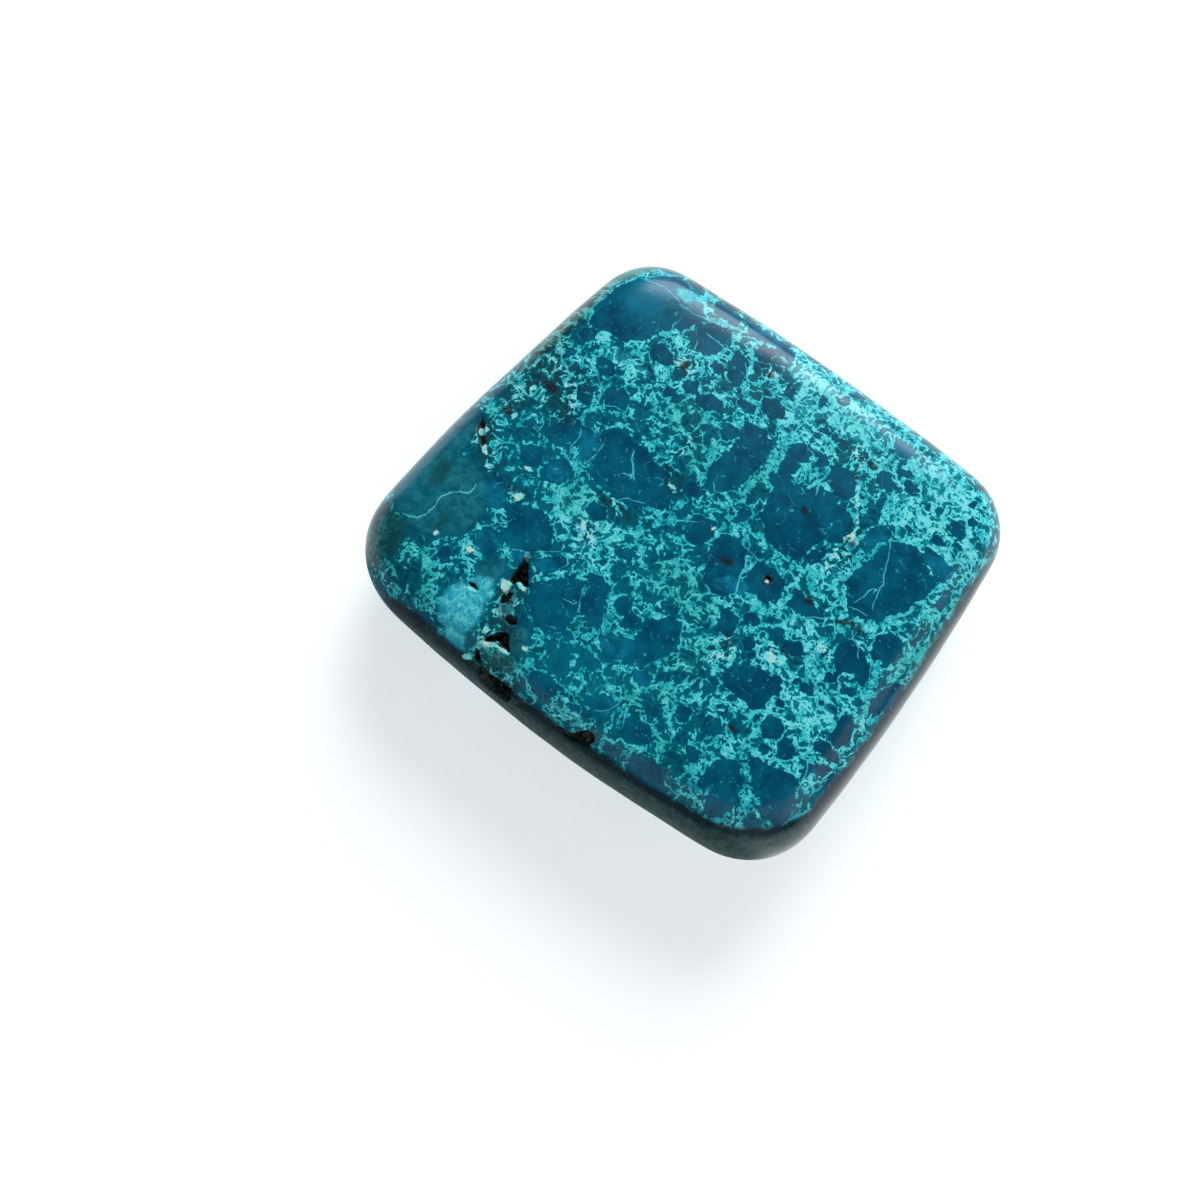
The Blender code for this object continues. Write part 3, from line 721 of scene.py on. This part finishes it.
# Pulls the surface in a little, unevenly, as tumbling leaves it
def tumble(places, normals):
    shape = stoneShape
    swell = (wave(places, shape["swellSizeMm"]) * 0.5 + 0.5) * shape["swellMm"]
    ripple = (wave(places, shape["rippleSizeMm"]) * 0.5 + 0.5) * shape["rippleMm"]
    above = rise(places[:, 2], *shape["footMm"])
    return places - normals * ((swell + ripple) * above)[:, None]


# Sinks every hollow, and gives each place's share: 0 outside the hollows and 1 on their floors
def sinkHollows(places, normals):
    shape = hollowShape
    fractal = shape["cragFractal"]
    craggy = np.array([noise.fractal(Vector(p) * shape["cragsPerMm"], *fractal) for p in places])
    onSlope = 1 / np.clip(normals[:, 2], shape["leastUp"], 1)
    narrower = np.maximum(shape["narrowMm"] - places[:, 2], 0) * shape["narrowing"]
    hollow = np.zeros(len(places))
    sunk = np.zeros(len(places))
    for deep, corners in hollowsMm:
        reach = pieceDistance(places[:, 0], places[:, 1], [corners])
        reach += craggy * onSlope * shape["craggyMm"] + narrower
        share = eased(np.clip(0.5 - reach / shape["wallMm"], 0, 1)) * topShare(places)
        hollow = np.maximum(hollow, share)
        sunk = np.maximum(sunk, share * deep * (1 + shape["craggyFloor"] * craggy))
    return places - normals * sunk[:, None], hollow


def makeStone():
    stone = copyOfNode("stone", stoneShape["name"])
    rounding = stone.modifiers.new("rounding", "SUBSURF")
    rounding.levels = stoneShape["roundingLevels"]
    rounding.render_levels = stoneShape["roundingLevels"]
    bpy.ops.object.modifier_apply(modifier="rounding")
    stone.data.remesh_voxel_size = stoneShape["grain"]
    bpy.ops.object.voxel_remesh()
    bpy.ops.object.mode_set(mode="EDIT")
    bpy.ops.mesh.select_all(action="SELECT")
    bpy.ops.mesh.vertices_smooth(factor=stoneShape["smoothFactor"], repeat=stoneShape["smoothPasses"])
    bpy.ops.object.mode_set(mode="OBJECT")
    refineNearHollows(stone)

    normals = readNormals(stone)
    places = tumble(readPlaces(stone), normals)
    places, hollow = sinkHollows(places, normals)
    writePlaces(stone, places)
    storeMap(stone, "hollow", hollow)
    mapStone(stone, places, normals)
    bpy.ops.object.shade_smooth()
    print("stone mesh:", len(stone.data.polygons), "faces")
    return stone


# How the nodes are laid out in the editor
nodeGrid = {"inRow": 30, "wide": 200, "high": 220}


# A socket that takes part in sums: each operator adds its Math node
class Wire:
    def __init__(self, paint, socket):
        self.paint = paint
        self.socket = socket

    def __add__(self, other):
        return self.paint.sum("ADD", self, other)

    def __sub__(self, other):
        return self.paint.sum("SUBTRACT", self, other)

    def __rsub__(self, other):
        return self.paint.sum("SUBTRACT", other, self)

    def __mul__(self, other):
        return self.paint.sum("MULTIPLY", self, other)

    def __abs__(self):
        return self.paint.sum("ABSOLUTE", self)

    def __neg__(self):
        return self.paint.sum("MULTIPLY", self, -1)

    __radd__ = __add__
    __rmul__ = __mul__


# The nodes of one material, and the few kinds that are used over and over
class Paint:
    def __init__(self, name):
        self.material = bpy.data.materials.new(name)
        self.material.use_nodes = True
        self.tree = self.material.node_tree
        self.tree.nodes.clear()

    # Settings go in before the sockets, because they decide which sockets there are
    def add(self, kind, settings=None, values=None, out=0):
        node = self.tree.nodes.new(kind)
        row, column = divmod(len(self.tree.nodes), nodeGrid["inRow"])
        node.location = (column * nodeGrid["wide"], -row * nodeGrid["high"])
        for name, value in (settings or {}).items():
            if name == "stops":
                self.fillRamp(node.color_ramp, value)
            else:
                setattr(node, name, value)
        for name, value in (values or {}).items():
            if isinstance(value, Wire):
                self.tree.links.new(value.socket, node.inputs[name])
            else:
                node.inputs[name].default_value = value
        return Wire(self, node.outputs[out]) if len(node.outputs) else node

    def fillRamp(self, ramp, stops):
        while len(ramp.elements) < len(stops):
            ramp.elements.new(0.5)
        for element, (place, colour) in zip(ramp.elements, stops):
            element.position = place
            element.color = colour

    def sum(self, operation, *terms):
        return self.add("ShaderNodeMath", {"operation": operation}, dict(enumerate(terms)))

    def vector(self, operation, *terms):
        return self.add("ShaderNodeVectorMath", {"operation": operation}, dict(enumerate(terms)))

    def most(self, a, b):
        return self.sum("MAXIMUM", a, b)

    # 0 at low and 1 at high, eased at both ends
    def ease(self, value, low, high):
        return self.add("ShaderNodeMapRange", {"interpolation_type": "SMOOTHSTEP"},
                        {0: value, 1: low, 2: high})

    def blend(self, share, below, above):
        return self.add("ShaderNodeMix", {"data_type": "RGBA"}, {0: share, 6: below, 7: above}, 2)

    def cloud(self, place, scale, detail, rough=0.5, out=0):
        return self.add("ShaderNodeTexNoise", None,
                        {"Vector": place, "Scale": scale, "Detail": detail, "Roughness": rough}, out)

    # Moves a place about by noise: sizeMm is the noise's own size, reachMm how far it can move
    def wander(self, place, sizeMm, reachMm, detail):
        shift = self.cloud(place, 1 / sizeMm, detail, out=1)
        centred = self.vector("SUBTRACT", shift, (0.5, 0.5, 0.5))
        scaled = self.vector("MULTIPLY", centred, (2 * reachMm,) * 3)
        return self.vector("ADD", place, scaled)

    # Distance in mm to the nearest wall between cells
    def walls(self, place, sizeMm):
        edge = self.add("ShaderNodeTexVoronoi", {"feature": "DISTANCE_TO_EDGE"},
                        {"Vector": place, "Scale": 1 / sizeMm})
        return edge * sizeMm

    def map(self, name):
        return self.add("ShaderNodeAttribute", {"attribute_name": name}, out=2)


lift = {"times": 1.5, "highest": 0.9}


# A colour as a paint program shows it, 0 to 255, turned into Blender's own linear values and lifted a little
def rgb(red, green, blue):
    shares = [value / 255 for value in (red, green, blue)]
    linear = [s / 12.92 if s <= 0.04045 else ((s + 0.055) / 1.055) ** 2.4 for s in shares]
    return tuple(min(lift["times"] * value, lift["highest"]) for value in linear) + (1.0,)


stoneColours = {
    "deepBlue": rgb(0, 60, 84),
    "midBlue": rgb(0, 86, 110),
    "clearBlue": rgb(12, 118, 146),
    "greenTeal": rgb(2, 98, 108),
    "milky": rgb(44, 152, 170),
    "gap": rgb(0, 48, 62),
    "hair": rgb(60, 168, 182),
    "calmTeal": rgb(2, 80, 98),
    "calmPale": rgb(30, 112, 122),
    "bright": rgb(78, 184, 196),
    "greenLace": rgb(50, 160, 148),
    "olive": rgb(18, 68, 68),
    "white": rgb(206, 240, 236),
    "darkGreen": rgb(0, 50, 50),
    "brown": rgb(36, 38, 44),
    "black": rgb(10, 18, 20),
    "pit": rgb(66, 66, 56),
    "cream": rgb(184, 206, 188),
    "paleGreen": rgb(74, 160, 150),
    "powderLow": rgb(24, 144, 172),
    "powderHigh": rgb(96, 206, 224),
    # painted shade on the sides
    "shadedSideTeal": rgb(4, 30, 34),
    "shadedSidePale": rgb(30, 54, 54),
    # the near sides' band: painted shade where it starts, then a painted reflection of the table
    "rimShadeDark": rgb(2, 22, 28),
    "tableReflectionDim": rgb(28, 46, 46),
    "tableReflectionBright": rgb(50, 68, 65),
    "sage": rgb(52, 114, 108),
}

# The lace's colours, from its thin threads to its thick ones
threadStops = [
    (0.14, rgb(0, 88, 102)), (0.34, rgb(2, 120, 136)), (0.56, rgb(26, 154, 164)),
    (0.76, rgb(68, 188, 192)), (0.96, rgb(114, 214, 214)),
]

# The noise that the whole material shares
grainLook = {
    # size and reach in mm, and detail
    "bend": (1.3, 0.35, 1),
    "rag": (0.4, 0.12, 2),
    # turns in each mm, detail and roughness
    "fine": (9.0, 2, 0.6),
    "fret": (2.4, 3, 0.65),
    "tone": (0.8, 3, 0.6),
    "squiggle": (2.1, 2, 0.6),
    "shine": (1.6, 3, 0.7),
    "fleck": (3.0, 2),
    "streak": (1.0, 3, 0.65),
    "streakStretch": (1.5, 2.2, 1.3),
    "worry": 0.8,              # how hard the frets pull at an edge
}

# The lace is a net of belts around the pieces and between cells, filled with squiggles of turquoise
laceLook = {
    "fuller": {"solid": 0.3, "lush": 0.4},
    # half widths in mm, where the lace is thinnest, and how much more where it is full
    "rim": (0.01, 0.13),
    "wide": (-0.01, 0.23),
    "narrow": (-0.04, 0.14),
    "rimMm": 0.05,             # how far outside a piece its rim runs
    "wideCellMm": 1.15,
    "narrowCellMm": 0.55,
    "belt": (0.5, 0.05),       # how ragged a belt is, and how much thinner than drawn
    "insidePiece": 0.3,        # how much thinner the lace is inside a piece
    "calm": 0.4,               # and on calm ground
    "pieceEdge": (0.45, 0.06),     # how ragged a piece is, and how much larger than drawn
    # what the brightness of a thread is made of
    "height": {"base": 0.06, "filament": 0.62, "shine": 1.4, "fine": 0.9, "solid": 0.1, "lush": 0.18},
    "milky": {"solid": 0.8, "lush": 0.7, "shine": 2.0},
    "veinRagged": 1.2,
    "dustFine": 0.5,
    "creamRagged": (0.35, 0.2),    # by the frets and by the fine grain
    "paleRagged": 0.5,
}

# The marks' edges: how ragged, then the distances in mm at which a mark starts and is full
markEdges = {
    "calm": (1.0, 0.25, -0.2),
    "dark": (1.4, 0.35, -0.35),
    "solid": (1.0, 0.45, -0.45),
    "clear": (1.6, 0.8, -0.8),
    "pane": (0.2, 0.03, -0.05),
    "olive": (0.7, 0.3, -0.3),
    "green": (1.0, 0.5, -0.5),
    "powder": (0.7, 0.25, -0.25),
    "rust": (0.25, 0.12, -0.1),
    "sage": (1.6, 0.4, -0.3),
    "fibre": (0.5, 0.15, -0.15),
}

# Between which values of its noise or distance each thing fades in
fades = {
    "fullLace": (0.33, 0.62),
    "bare": (-0.05, 0.1),
    "belt": (-0.02, 0.04),
    "filament": (0.12, 0.05),
    "thread": (0.12, 0.3),
    "whiteThread": (0.6, 1.0),
    "gap": (0.22, 0.12),
    "paneShine": (0.2, 0.8),
    "midBlue": (0.3, 0.7),
    "clearBlue": (0.2, 0.7),
    "halo": (-0.14, 0.0),
    "calmPale": (0.3, 0.7),
    "milky": (0.45, 1.2),
    "mouldBrown": (0.4, 0.6),
    "mould": (0.0, 0.06),
    "hair": (0.06, 0.0),
    "hairPatch": (0.5, 0.7),
    "fleck": (0.66, 0.72),
    "vein": (1.1, 0.4),
    "veinNear": (5, 3),
    "veinShine": (0.25, 0.6),
    "dustAndSheen": (0.6, 0.95),
    "soot": (0.35, 0.6),
    "stripes": (0.49, 0.58),
    "cream": (0.06, -0.02),
    "chalk": (0.4, 0.6),
    "pit": (0.42, 0.62),
    "hollow": (0.25, 0.6),
    "unpolished": (0.1, 0.5),
    # painted shade on every side
    "sideShading": (0.35, 0.65),
    # the near sides' painted reflection of the table
    "mottle": (0.3, 0.7),
    "pale": (0.1, 0.9),
}

# How much each layer covers what is under it
covers = {
    "clear": 0.6, "halo": 0.75, "milky": 0.65, "calm": 0.9, "mould": 0.65, "hair": 0.35, "fleck": 0.5,
    "greenLace": 0.3, "whiteThread": 0.5, "gap": 0.6, "vein": 0.85, "powder": 0.95, "rust": 0.85,
    "olive": 0.75, "sage": 0.7, "fibre": 0.85, "side": 0.88,
}

# The shine is a soft coat that the hollows, the powder and the chalk don't have
polish = {
    "bodyRoughness": 0.5,
    "hollowRoughness": 0.3,    # added in the hollows
    "coatRoughness": 0.22,
    "coatIor": 1.37,
    "powderDulls": 0.4,
    "cragStrength": 0.6,
    "cragDistance": 0.05 * mm,
}


def makeGrain(paint):
    look = grainLook
    coordinates = paint.add("ShaderNodeTexCoord", out=3)
    place = paint.vector("MULTIPLY", coordinates, (1 / mm,) * 3)
    ragged = paint.wander(paint.wander(place, *look["bend"]), *look["rag"])
    fret = paint.cloud(place, *look["fret"])
    return SimpleNamespace(
        ragged=ragged,
        fine=paint.cloud(place, *look["fine"]),
        fret=fret,
        tone=paint.cloud(place, *look["tone"]),
        squiggle=abs(paint.cloud(ragged, *look["squiggle"]) - 0.5),
        shine=paint.cloud(ragged, *look["shine"]),
        worry=(fret - 0.5) * look["worry"],
    )


# 0 outside a mark and 1 inside it, with an edge that the frets make ragged
def markShare(paint, grain, name):
    ragged, outer, inner = markEdges[name]
    return paint.ease(paint.map(name) + grain.worry * ragged, outer, inner)


def makeLace(paint, grain):
    look = laceLook
    calm = markShare(paint, grain, "calm")
    dark = markShare(paint, grain, "dark")
    solid = markShare(paint, grain, "solid")
    lush = paint.map("lush")
    ragged, inset = look["pieceEdge"]
    clast = paint.map("clast") + (grain.fret - 0.5) * ragged - inset
    bare = paint.ease(clast, *fades["bare"])     # 0 in a blue piece and 1 in the lacy ground

    full = paint.ease(grain.tone, *fades["fullLace"])
    amount = full + solid * look["fuller"]["solid"] + lush * look["fuller"]["lush"]
    rim, wide, narrow = (amount * more + thinnest for thinnest, more in
                         (look["rim"], look["wide"], look["narrow"]))
    wideWall = paint.walls(grain.ragged, look["wideCellMm"])
    narrowWall = paint.walls(grain.ragged, look["narrowCellMm"])
    beltRagged, thinner = look["belt"]
    drawn = -paint.map("belt") + (grain.fret - 0.5) * beltRagged - thinner
    around = paint.most(rim - abs(clast - look["rimMm"]), drawn)
    between = paint.most(wide - wideWall, narrow - narrowWall) + (bare - 1) * look["insidePiece"]
    near = paint.most(around, between) - calm * look["calm"]
    belt = paint.ease(near, *fades["belt"])

    part = look["height"]
    filament = paint.ease(grain.squiggle, *fades["filament"])
    # threads are brighter where the lace is full; along +Y this is partly painted light from the window side
    height = belt * (filament * part["filament"] + part["base"] + (grain.shine - 0.5) * part["shine"]
                     + (grain.fine - 0.5) * part["fine"] + solid * part["solid"] + lush * part["lush"])
    return SimpleNamespace(calm=calm, dark=dark, solid=solid, lush=lush, bare=bare, wideWall=wideWall,
                           near=near, belt=belt, height=height)


# The blue pieces and all that lies under the lace
def paintGround(paint, grain, lace):
    colours = stoneColours
    clear = markShare(paint, grain, "clear") * covers["clear"]
    pane = markShare(paint, grain, "pane") * paint.ease(grain.shine, *fades["paneShine"])
    light = paint.ease(grain.tone + paint.map("light"), *fades["midBlue"])
    blue = paint.blend(light, colours["deepBlue"], colours["midBlue"])
    clearShare = paint.most(clear, pane) * paint.ease(grain.tone, *fades["clearBlue"])
    blue = paint.blend(clearShare, blue, colours["clearBlue"])

    halo = paint.ease(lace.near, *fades["halo"]) * lace.bare
    under = paint.blend(halo * covers["halo"], blue, colours["greenTeal"])
    part = laceLook["milky"]
    cloudy = lace.solid * part["solid"] + lace.lush * part["lush"] + (grain.shine - 0.5) * part["shine"]
    milky = paint.ease(cloudy, *fades["milky"]) * lace.bare
    under = paint.blend(milky * covers["milky"], under, colours["milky"])
    still = paint.blend(paint.ease(grain.shine, *fades["calmPale"]), colours["calmTeal"], colours["calmPale"])
    under = paint.blend(lace.calm * covers["calm"], under, still)
    mould = paint.blend(paint.ease(grain.fret, *fades["mouldBrown"]), colours["darkGreen"], colours["brown"])
    mouldShare = lace.dark * paint.ease(grain.squiggle, *fades["mould"]) * covers["mould"]
    under = paint.blend(mouldShare, under, mould)

    inPiece = 1 - lace.bare
    hairPatch = paint.ease(grain.fret, *fades["hairPatch"])
    hair = paint.ease(lace.wideWall, *fades["hair"]) * inPiece * hairPatch * covers["hair"]
    flecks = paint.cloud(grain.ragged, *grainLook["fleck"])
    fleck = paint.ease(flecks, *fades["fleck"]) * inPiece * covers["fleck"]
    return paint.blend(paint.most(hair, fleck), under, colours["hair"])


# The turquoise threads, with a dark gap beside each
def paintLace(paint, grain, lace, under):
    colours = stoneColours
    thread = paint.add("ShaderNodeValToRGB", {"stops": threadStops}, {0: lace.height})
    green = markShare(paint, grain, "green")
    thread = paint.blend(green * covers["greenLace"], thread, colours["greenLace"])
    white = lace.dark * paint.ease(lace.height, *fades["whiteThread"]) * covers["whiteThread"]
    thread = paint.blend(white, thread, colours["white"])
    gap = lace.belt * paint.ease(grain.squiggle, *fades["gap"]) * covers["gap"]
    under = paint.blend(gap, under, colours["gap"])
    return paint.blend(paint.ease(lace.height, *fades["thread"]), under, thread)


def paintMarks(paint, grain, colour, powder):
    colours = stoneColours
    across = abs(paint.map("veinAcross") + (grain.fine - 0.5) * laceLook["veinRagged"])
    vein = paint.ease(across, *fades["vein"]) * paint.ease(paint.map("veinNear"), *fades["veinNear"])
    vein = vein * paint.ease(grain.shine, *fades["veinShine"]) * covers["vein"]
    colour = paint.blend(vein, colour, colours["bright"])

    # the powder's pale blue, and a painted highlight by the -X, +Y corner
    dusty = paint.ease(grain.fine * laceLook["dustFine"] + grain.shine, *fades["dustAndSheen"])
    dustAndSheen = paint.blend(dusty, colours["powderLow"], colours["powderHigh"])
    colour = paint.blend(powder * covers["powder"], colour, dustAndSheen)
    soot = paint.blend(paint.ease(grain.fine, *fades["soot"]), colours["black"], colours["brown"])
    colour = paint.blend(markShare(paint, grain, "rust") * covers["rust"], colour, soot)
    for name in ("olive", "sage"):
        colour = paint.blend(markShare(paint, grain, name) * covers[name], colour, colours[name])

    stretched = paint.vector("MULTIPLY", grain.ragged, grainLook["streakStretch"])
    streak = paint.ease(paint.cloud(stretched, *grainLook["streak"]), *fades["stripes"])
    stripes = paint.blend(streak, colours["darkGreen"], colours["paleGreen"])
    return paint.blend(markShare(paint, grain, "fibre") * covers["fibre"], colour, stripes)


def paintSides(paint, grain, colour):
    colours = stoneColours
    # painted shade on every side, by how little it faces up
    sideShading = paint.blend(paint.ease(grain.fret, *fades["sideShading"]), colours["shadedSideTeal"], colours["shadedSidePale"])
    colour = paint.blend(paint.map("side") * covers["side"], colour, sideShading)
    # the near sides' band: painted shade where it starts, then a painted reflection of the table
    mottle = paint.blend(paint.ease(grain.fret, *fades["mottle"]), colours["tableReflectionDim"], colours["tableReflectionBright"])
    pale = paint.ease(paint.map("pale") + grain.worry * laceLook["paleRagged"], *fades["pale"])
    skin = paint.blend(pale, colours["rimShadeDark"], mottle)
    return paint.blend(paint.map("skin"), colour, skin)


def paintHollows(paint, grain, colour, hollow, cream):
    colours = stoneColours
    # the hollows' floors are painted dark: partly painted shade, partly the grey-brown rock inside them
    inside = paint.blend(paint.ease(grain.fret, *fades["pit"]), colours["black"], colours["pit"])
    colour = paint.blend(paint.ease(hollow, *fades["hollow"]), colour, inside)
    chalk = paint.blend(paint.ease(grain.shine, *fades["chalk"]), colours["powderHigh"], colours["cream"])
    return paint.blend(cream, colour, chalk)


def paintStone():
    paint = Paint("chrysocolla")
    grain = makeGrain(paint)
    lace = makeLace(paint, grain)
    colour = paintGround(paint, grain, lace)
    colour = paintLace(paint, grain, lace, colour)
    # powdery marks, and a painted highlight by the -X, +Y corner
    powder = markShare(paint, grain, "powder")
    colour = paintMarks(paint, grain, colour, powder)
    colour = paintSides(paint, grain, colour)
    hollow = paint.map("hollow")
    worried, grainy = laceLook["creamRagged"]
    creamEdge = paint.map("cream") + grain.worry * worried + (grain.fine - 0.5) * grainy
    cream = paint.ease(creamEdge, *fades["cream"])
    colour = paintHollows(paint, grain, colour, hollow, cream)

    crags = paint.add("ShaderNodeBump", None, {
        "Strength": polish["cragStrength"], "Distance": polish["cragDistance"], "Height": grain.fine * hollow,
    })
    unpolished = paint.ease(hollow, *fades["unpolished"])
    dull = paint.most(paint.most(unpolished, paint.map("dull")), powder * polish["powderDulls"] + cream)
    shader = paint.add("ShaderNodeBsdfPrincipled", None, {
        "Base Color": colour,
        "Roughness": unpolished * polish["hollowRoughness"] + polish["bodyRoughness"],
        "Specular IOR Level": 0.0,
        "Coat Weight": 1 - dull,
        "Coat Roughness": polish["coatRoughness"],
        "Coat IOR": polish["coatIor"],
        "Normal": crags,
    })
    paint.add("ShaderNodeOutputMaterial", None, {"Surface": shader})
    print("stone material:", len(paint.tree.nodes), "nodes")
    return paint.material


# The table is a light box, in a dim room
studio = {
    "tableHalf": 0.6,
    "tableColour": (0.86, 0.86, 0.86, 1.0),
    "tableMottled": (0.8342, 0.8342, 0.8342, 1.0),
    "mottleScale": 40.0,
    "mottleDetail": 3,
    "tableRoughness": 0.7,
    "tableGlow": 0.55,
    "roomStrength": 0.08,
    "roomColour": (0.6, 0.85, 1.0, 1.0),
    "viewTransform": "Standard",
    "lightsAim": (0.0, 0.0, 0.0045),
}

# Each light: turn from the +Y axis towards -X and rise in degrees, distance, width and height, watts, colour
lights = {
    "window": (21, 33, 0.45, (0.30, 0.30), 1.75, (0.88, 0.96, 1.0)),
    "doorway": (-80, 35, 0.45, (0.40, 0.30), 0.35, (0.94, 0.98, 1.0)),
    "sky": (2, 44, 0.45, (0.32, 0.16), 0.16, (0.84, 0.93, 1.0)),
    "fill": (220, 38, 0.50, (1.00, 0.60), 0.78, (0.94, 0.98, 1.0)),
}

# Turned and raised as the lights are
cameraPlace = {
    "turn": 219.96,
    "rise": 78.0,
    "far": 0.08766,
    "aim": (-0.002078, -0.005377, 0.0045),
    "lens": 46.25,
    "sensor": 36.0,
    "clip": (0.005, 5.0),
}


# The way from the stone to a light or the camera, from its turn and rise in degrees
def wayTo(turn, up):
    turn, up = math.radians(turn), math.radians(up)
    return Vector((-math.sin(turn) * math.cos(up), math.cos(turn) * math.cos(up), math.sin(up)))


def paintTable():
    paint = Paint("table")
    coordinates = paint.add("ShaderNodeTexCoord", out=3)
    mottle = paint.cloud(coordinates, studio["mottleScale"], studio["mottleDetail"])
    shader = paint.add("ShaderNodeBsdfPrincipled", None, {
        "Base Color": paint.blend(mottle, studio["tableColour"], studio["tableMottled"]),
        "Roughness": studio["tableRoughness"],
        "Specular IOR Level": 0.0,
        "Emission Color": (1.0, 1.0, 1.0, 1.0),
        "Emission Strength": studio["tableGlow"],
    })
    paint.add("ShaderNodeOutputMaterial", None, {"Surface": shader})
    return paint.material


def makeTable():
    bpy.ops.object.select_all(action="DESELECT")
    bpy.ops.mesh.primitive_plane_add(size=2 * studio["tableHalf"], location=(0, 0, 0))
    table = bpy.context.object
    table.name = "table"
    table.data.materials.append(paintTable())


def makeRoom():
    room = bpy.data.worlds.new("room")
    bpy.context.scene.world = room
    room.use_nodes = True
    background = room.node_tree.nodes["Background"]
    background.inputs["Color"].default_value = studio["roomColour"]
    background.inputs["Strength"].default_value = studio["roomStrength"]
    bpy.context.scene.view_settings.view_transform = studio["viewTransform"]


def makeLights():
    for name, (turn, up, far, size, watts, colour) in lights.items():
        way = wayTo(turn, up)
        bpy.ops.object.light_add(type="AREA", location=Vector(studio["lightsAim"]) + way * far)
        light = bpy.context.object
        light.name = name
        light.rotation_euler = way.to_track_quat("Z", "Y").to_euler()
        light.data.shape = "ELLIPSE"
        light.data.size, light.data.size_y = size
        light.data.energy = watts
        light.data.color = colour


def makeCamera():
    way = wayTo(cameraPlace["turn"], cameraPlace["rise"])
    bpy.ops.object.camera_add(location=Vector(cameraPlace["aim"]) + way * cameraPlace["far"])
    camera = bpy.context.object
    camera.rotation_euler = way.to_track_quat("Z", "Y").to_euler()
    camera.data.sensor_fit = "HORIZONTAL"
    camera.data.sensor_width = cameraPlace["sensor"]
    camera.data.lens = cameraPlace["lens"]
    camera.data.clip_start, camera.data.clip_end = cameraPlace["clip"]
    bpy.context.scene.camera = camera


stone = makeStone()
stone.data.materials.append(paintStone())
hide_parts("stone")
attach(stone, "root")
makeTable()
makeRoom()
makeLights()
makeCamera()
print("table, lights and camera are in place")
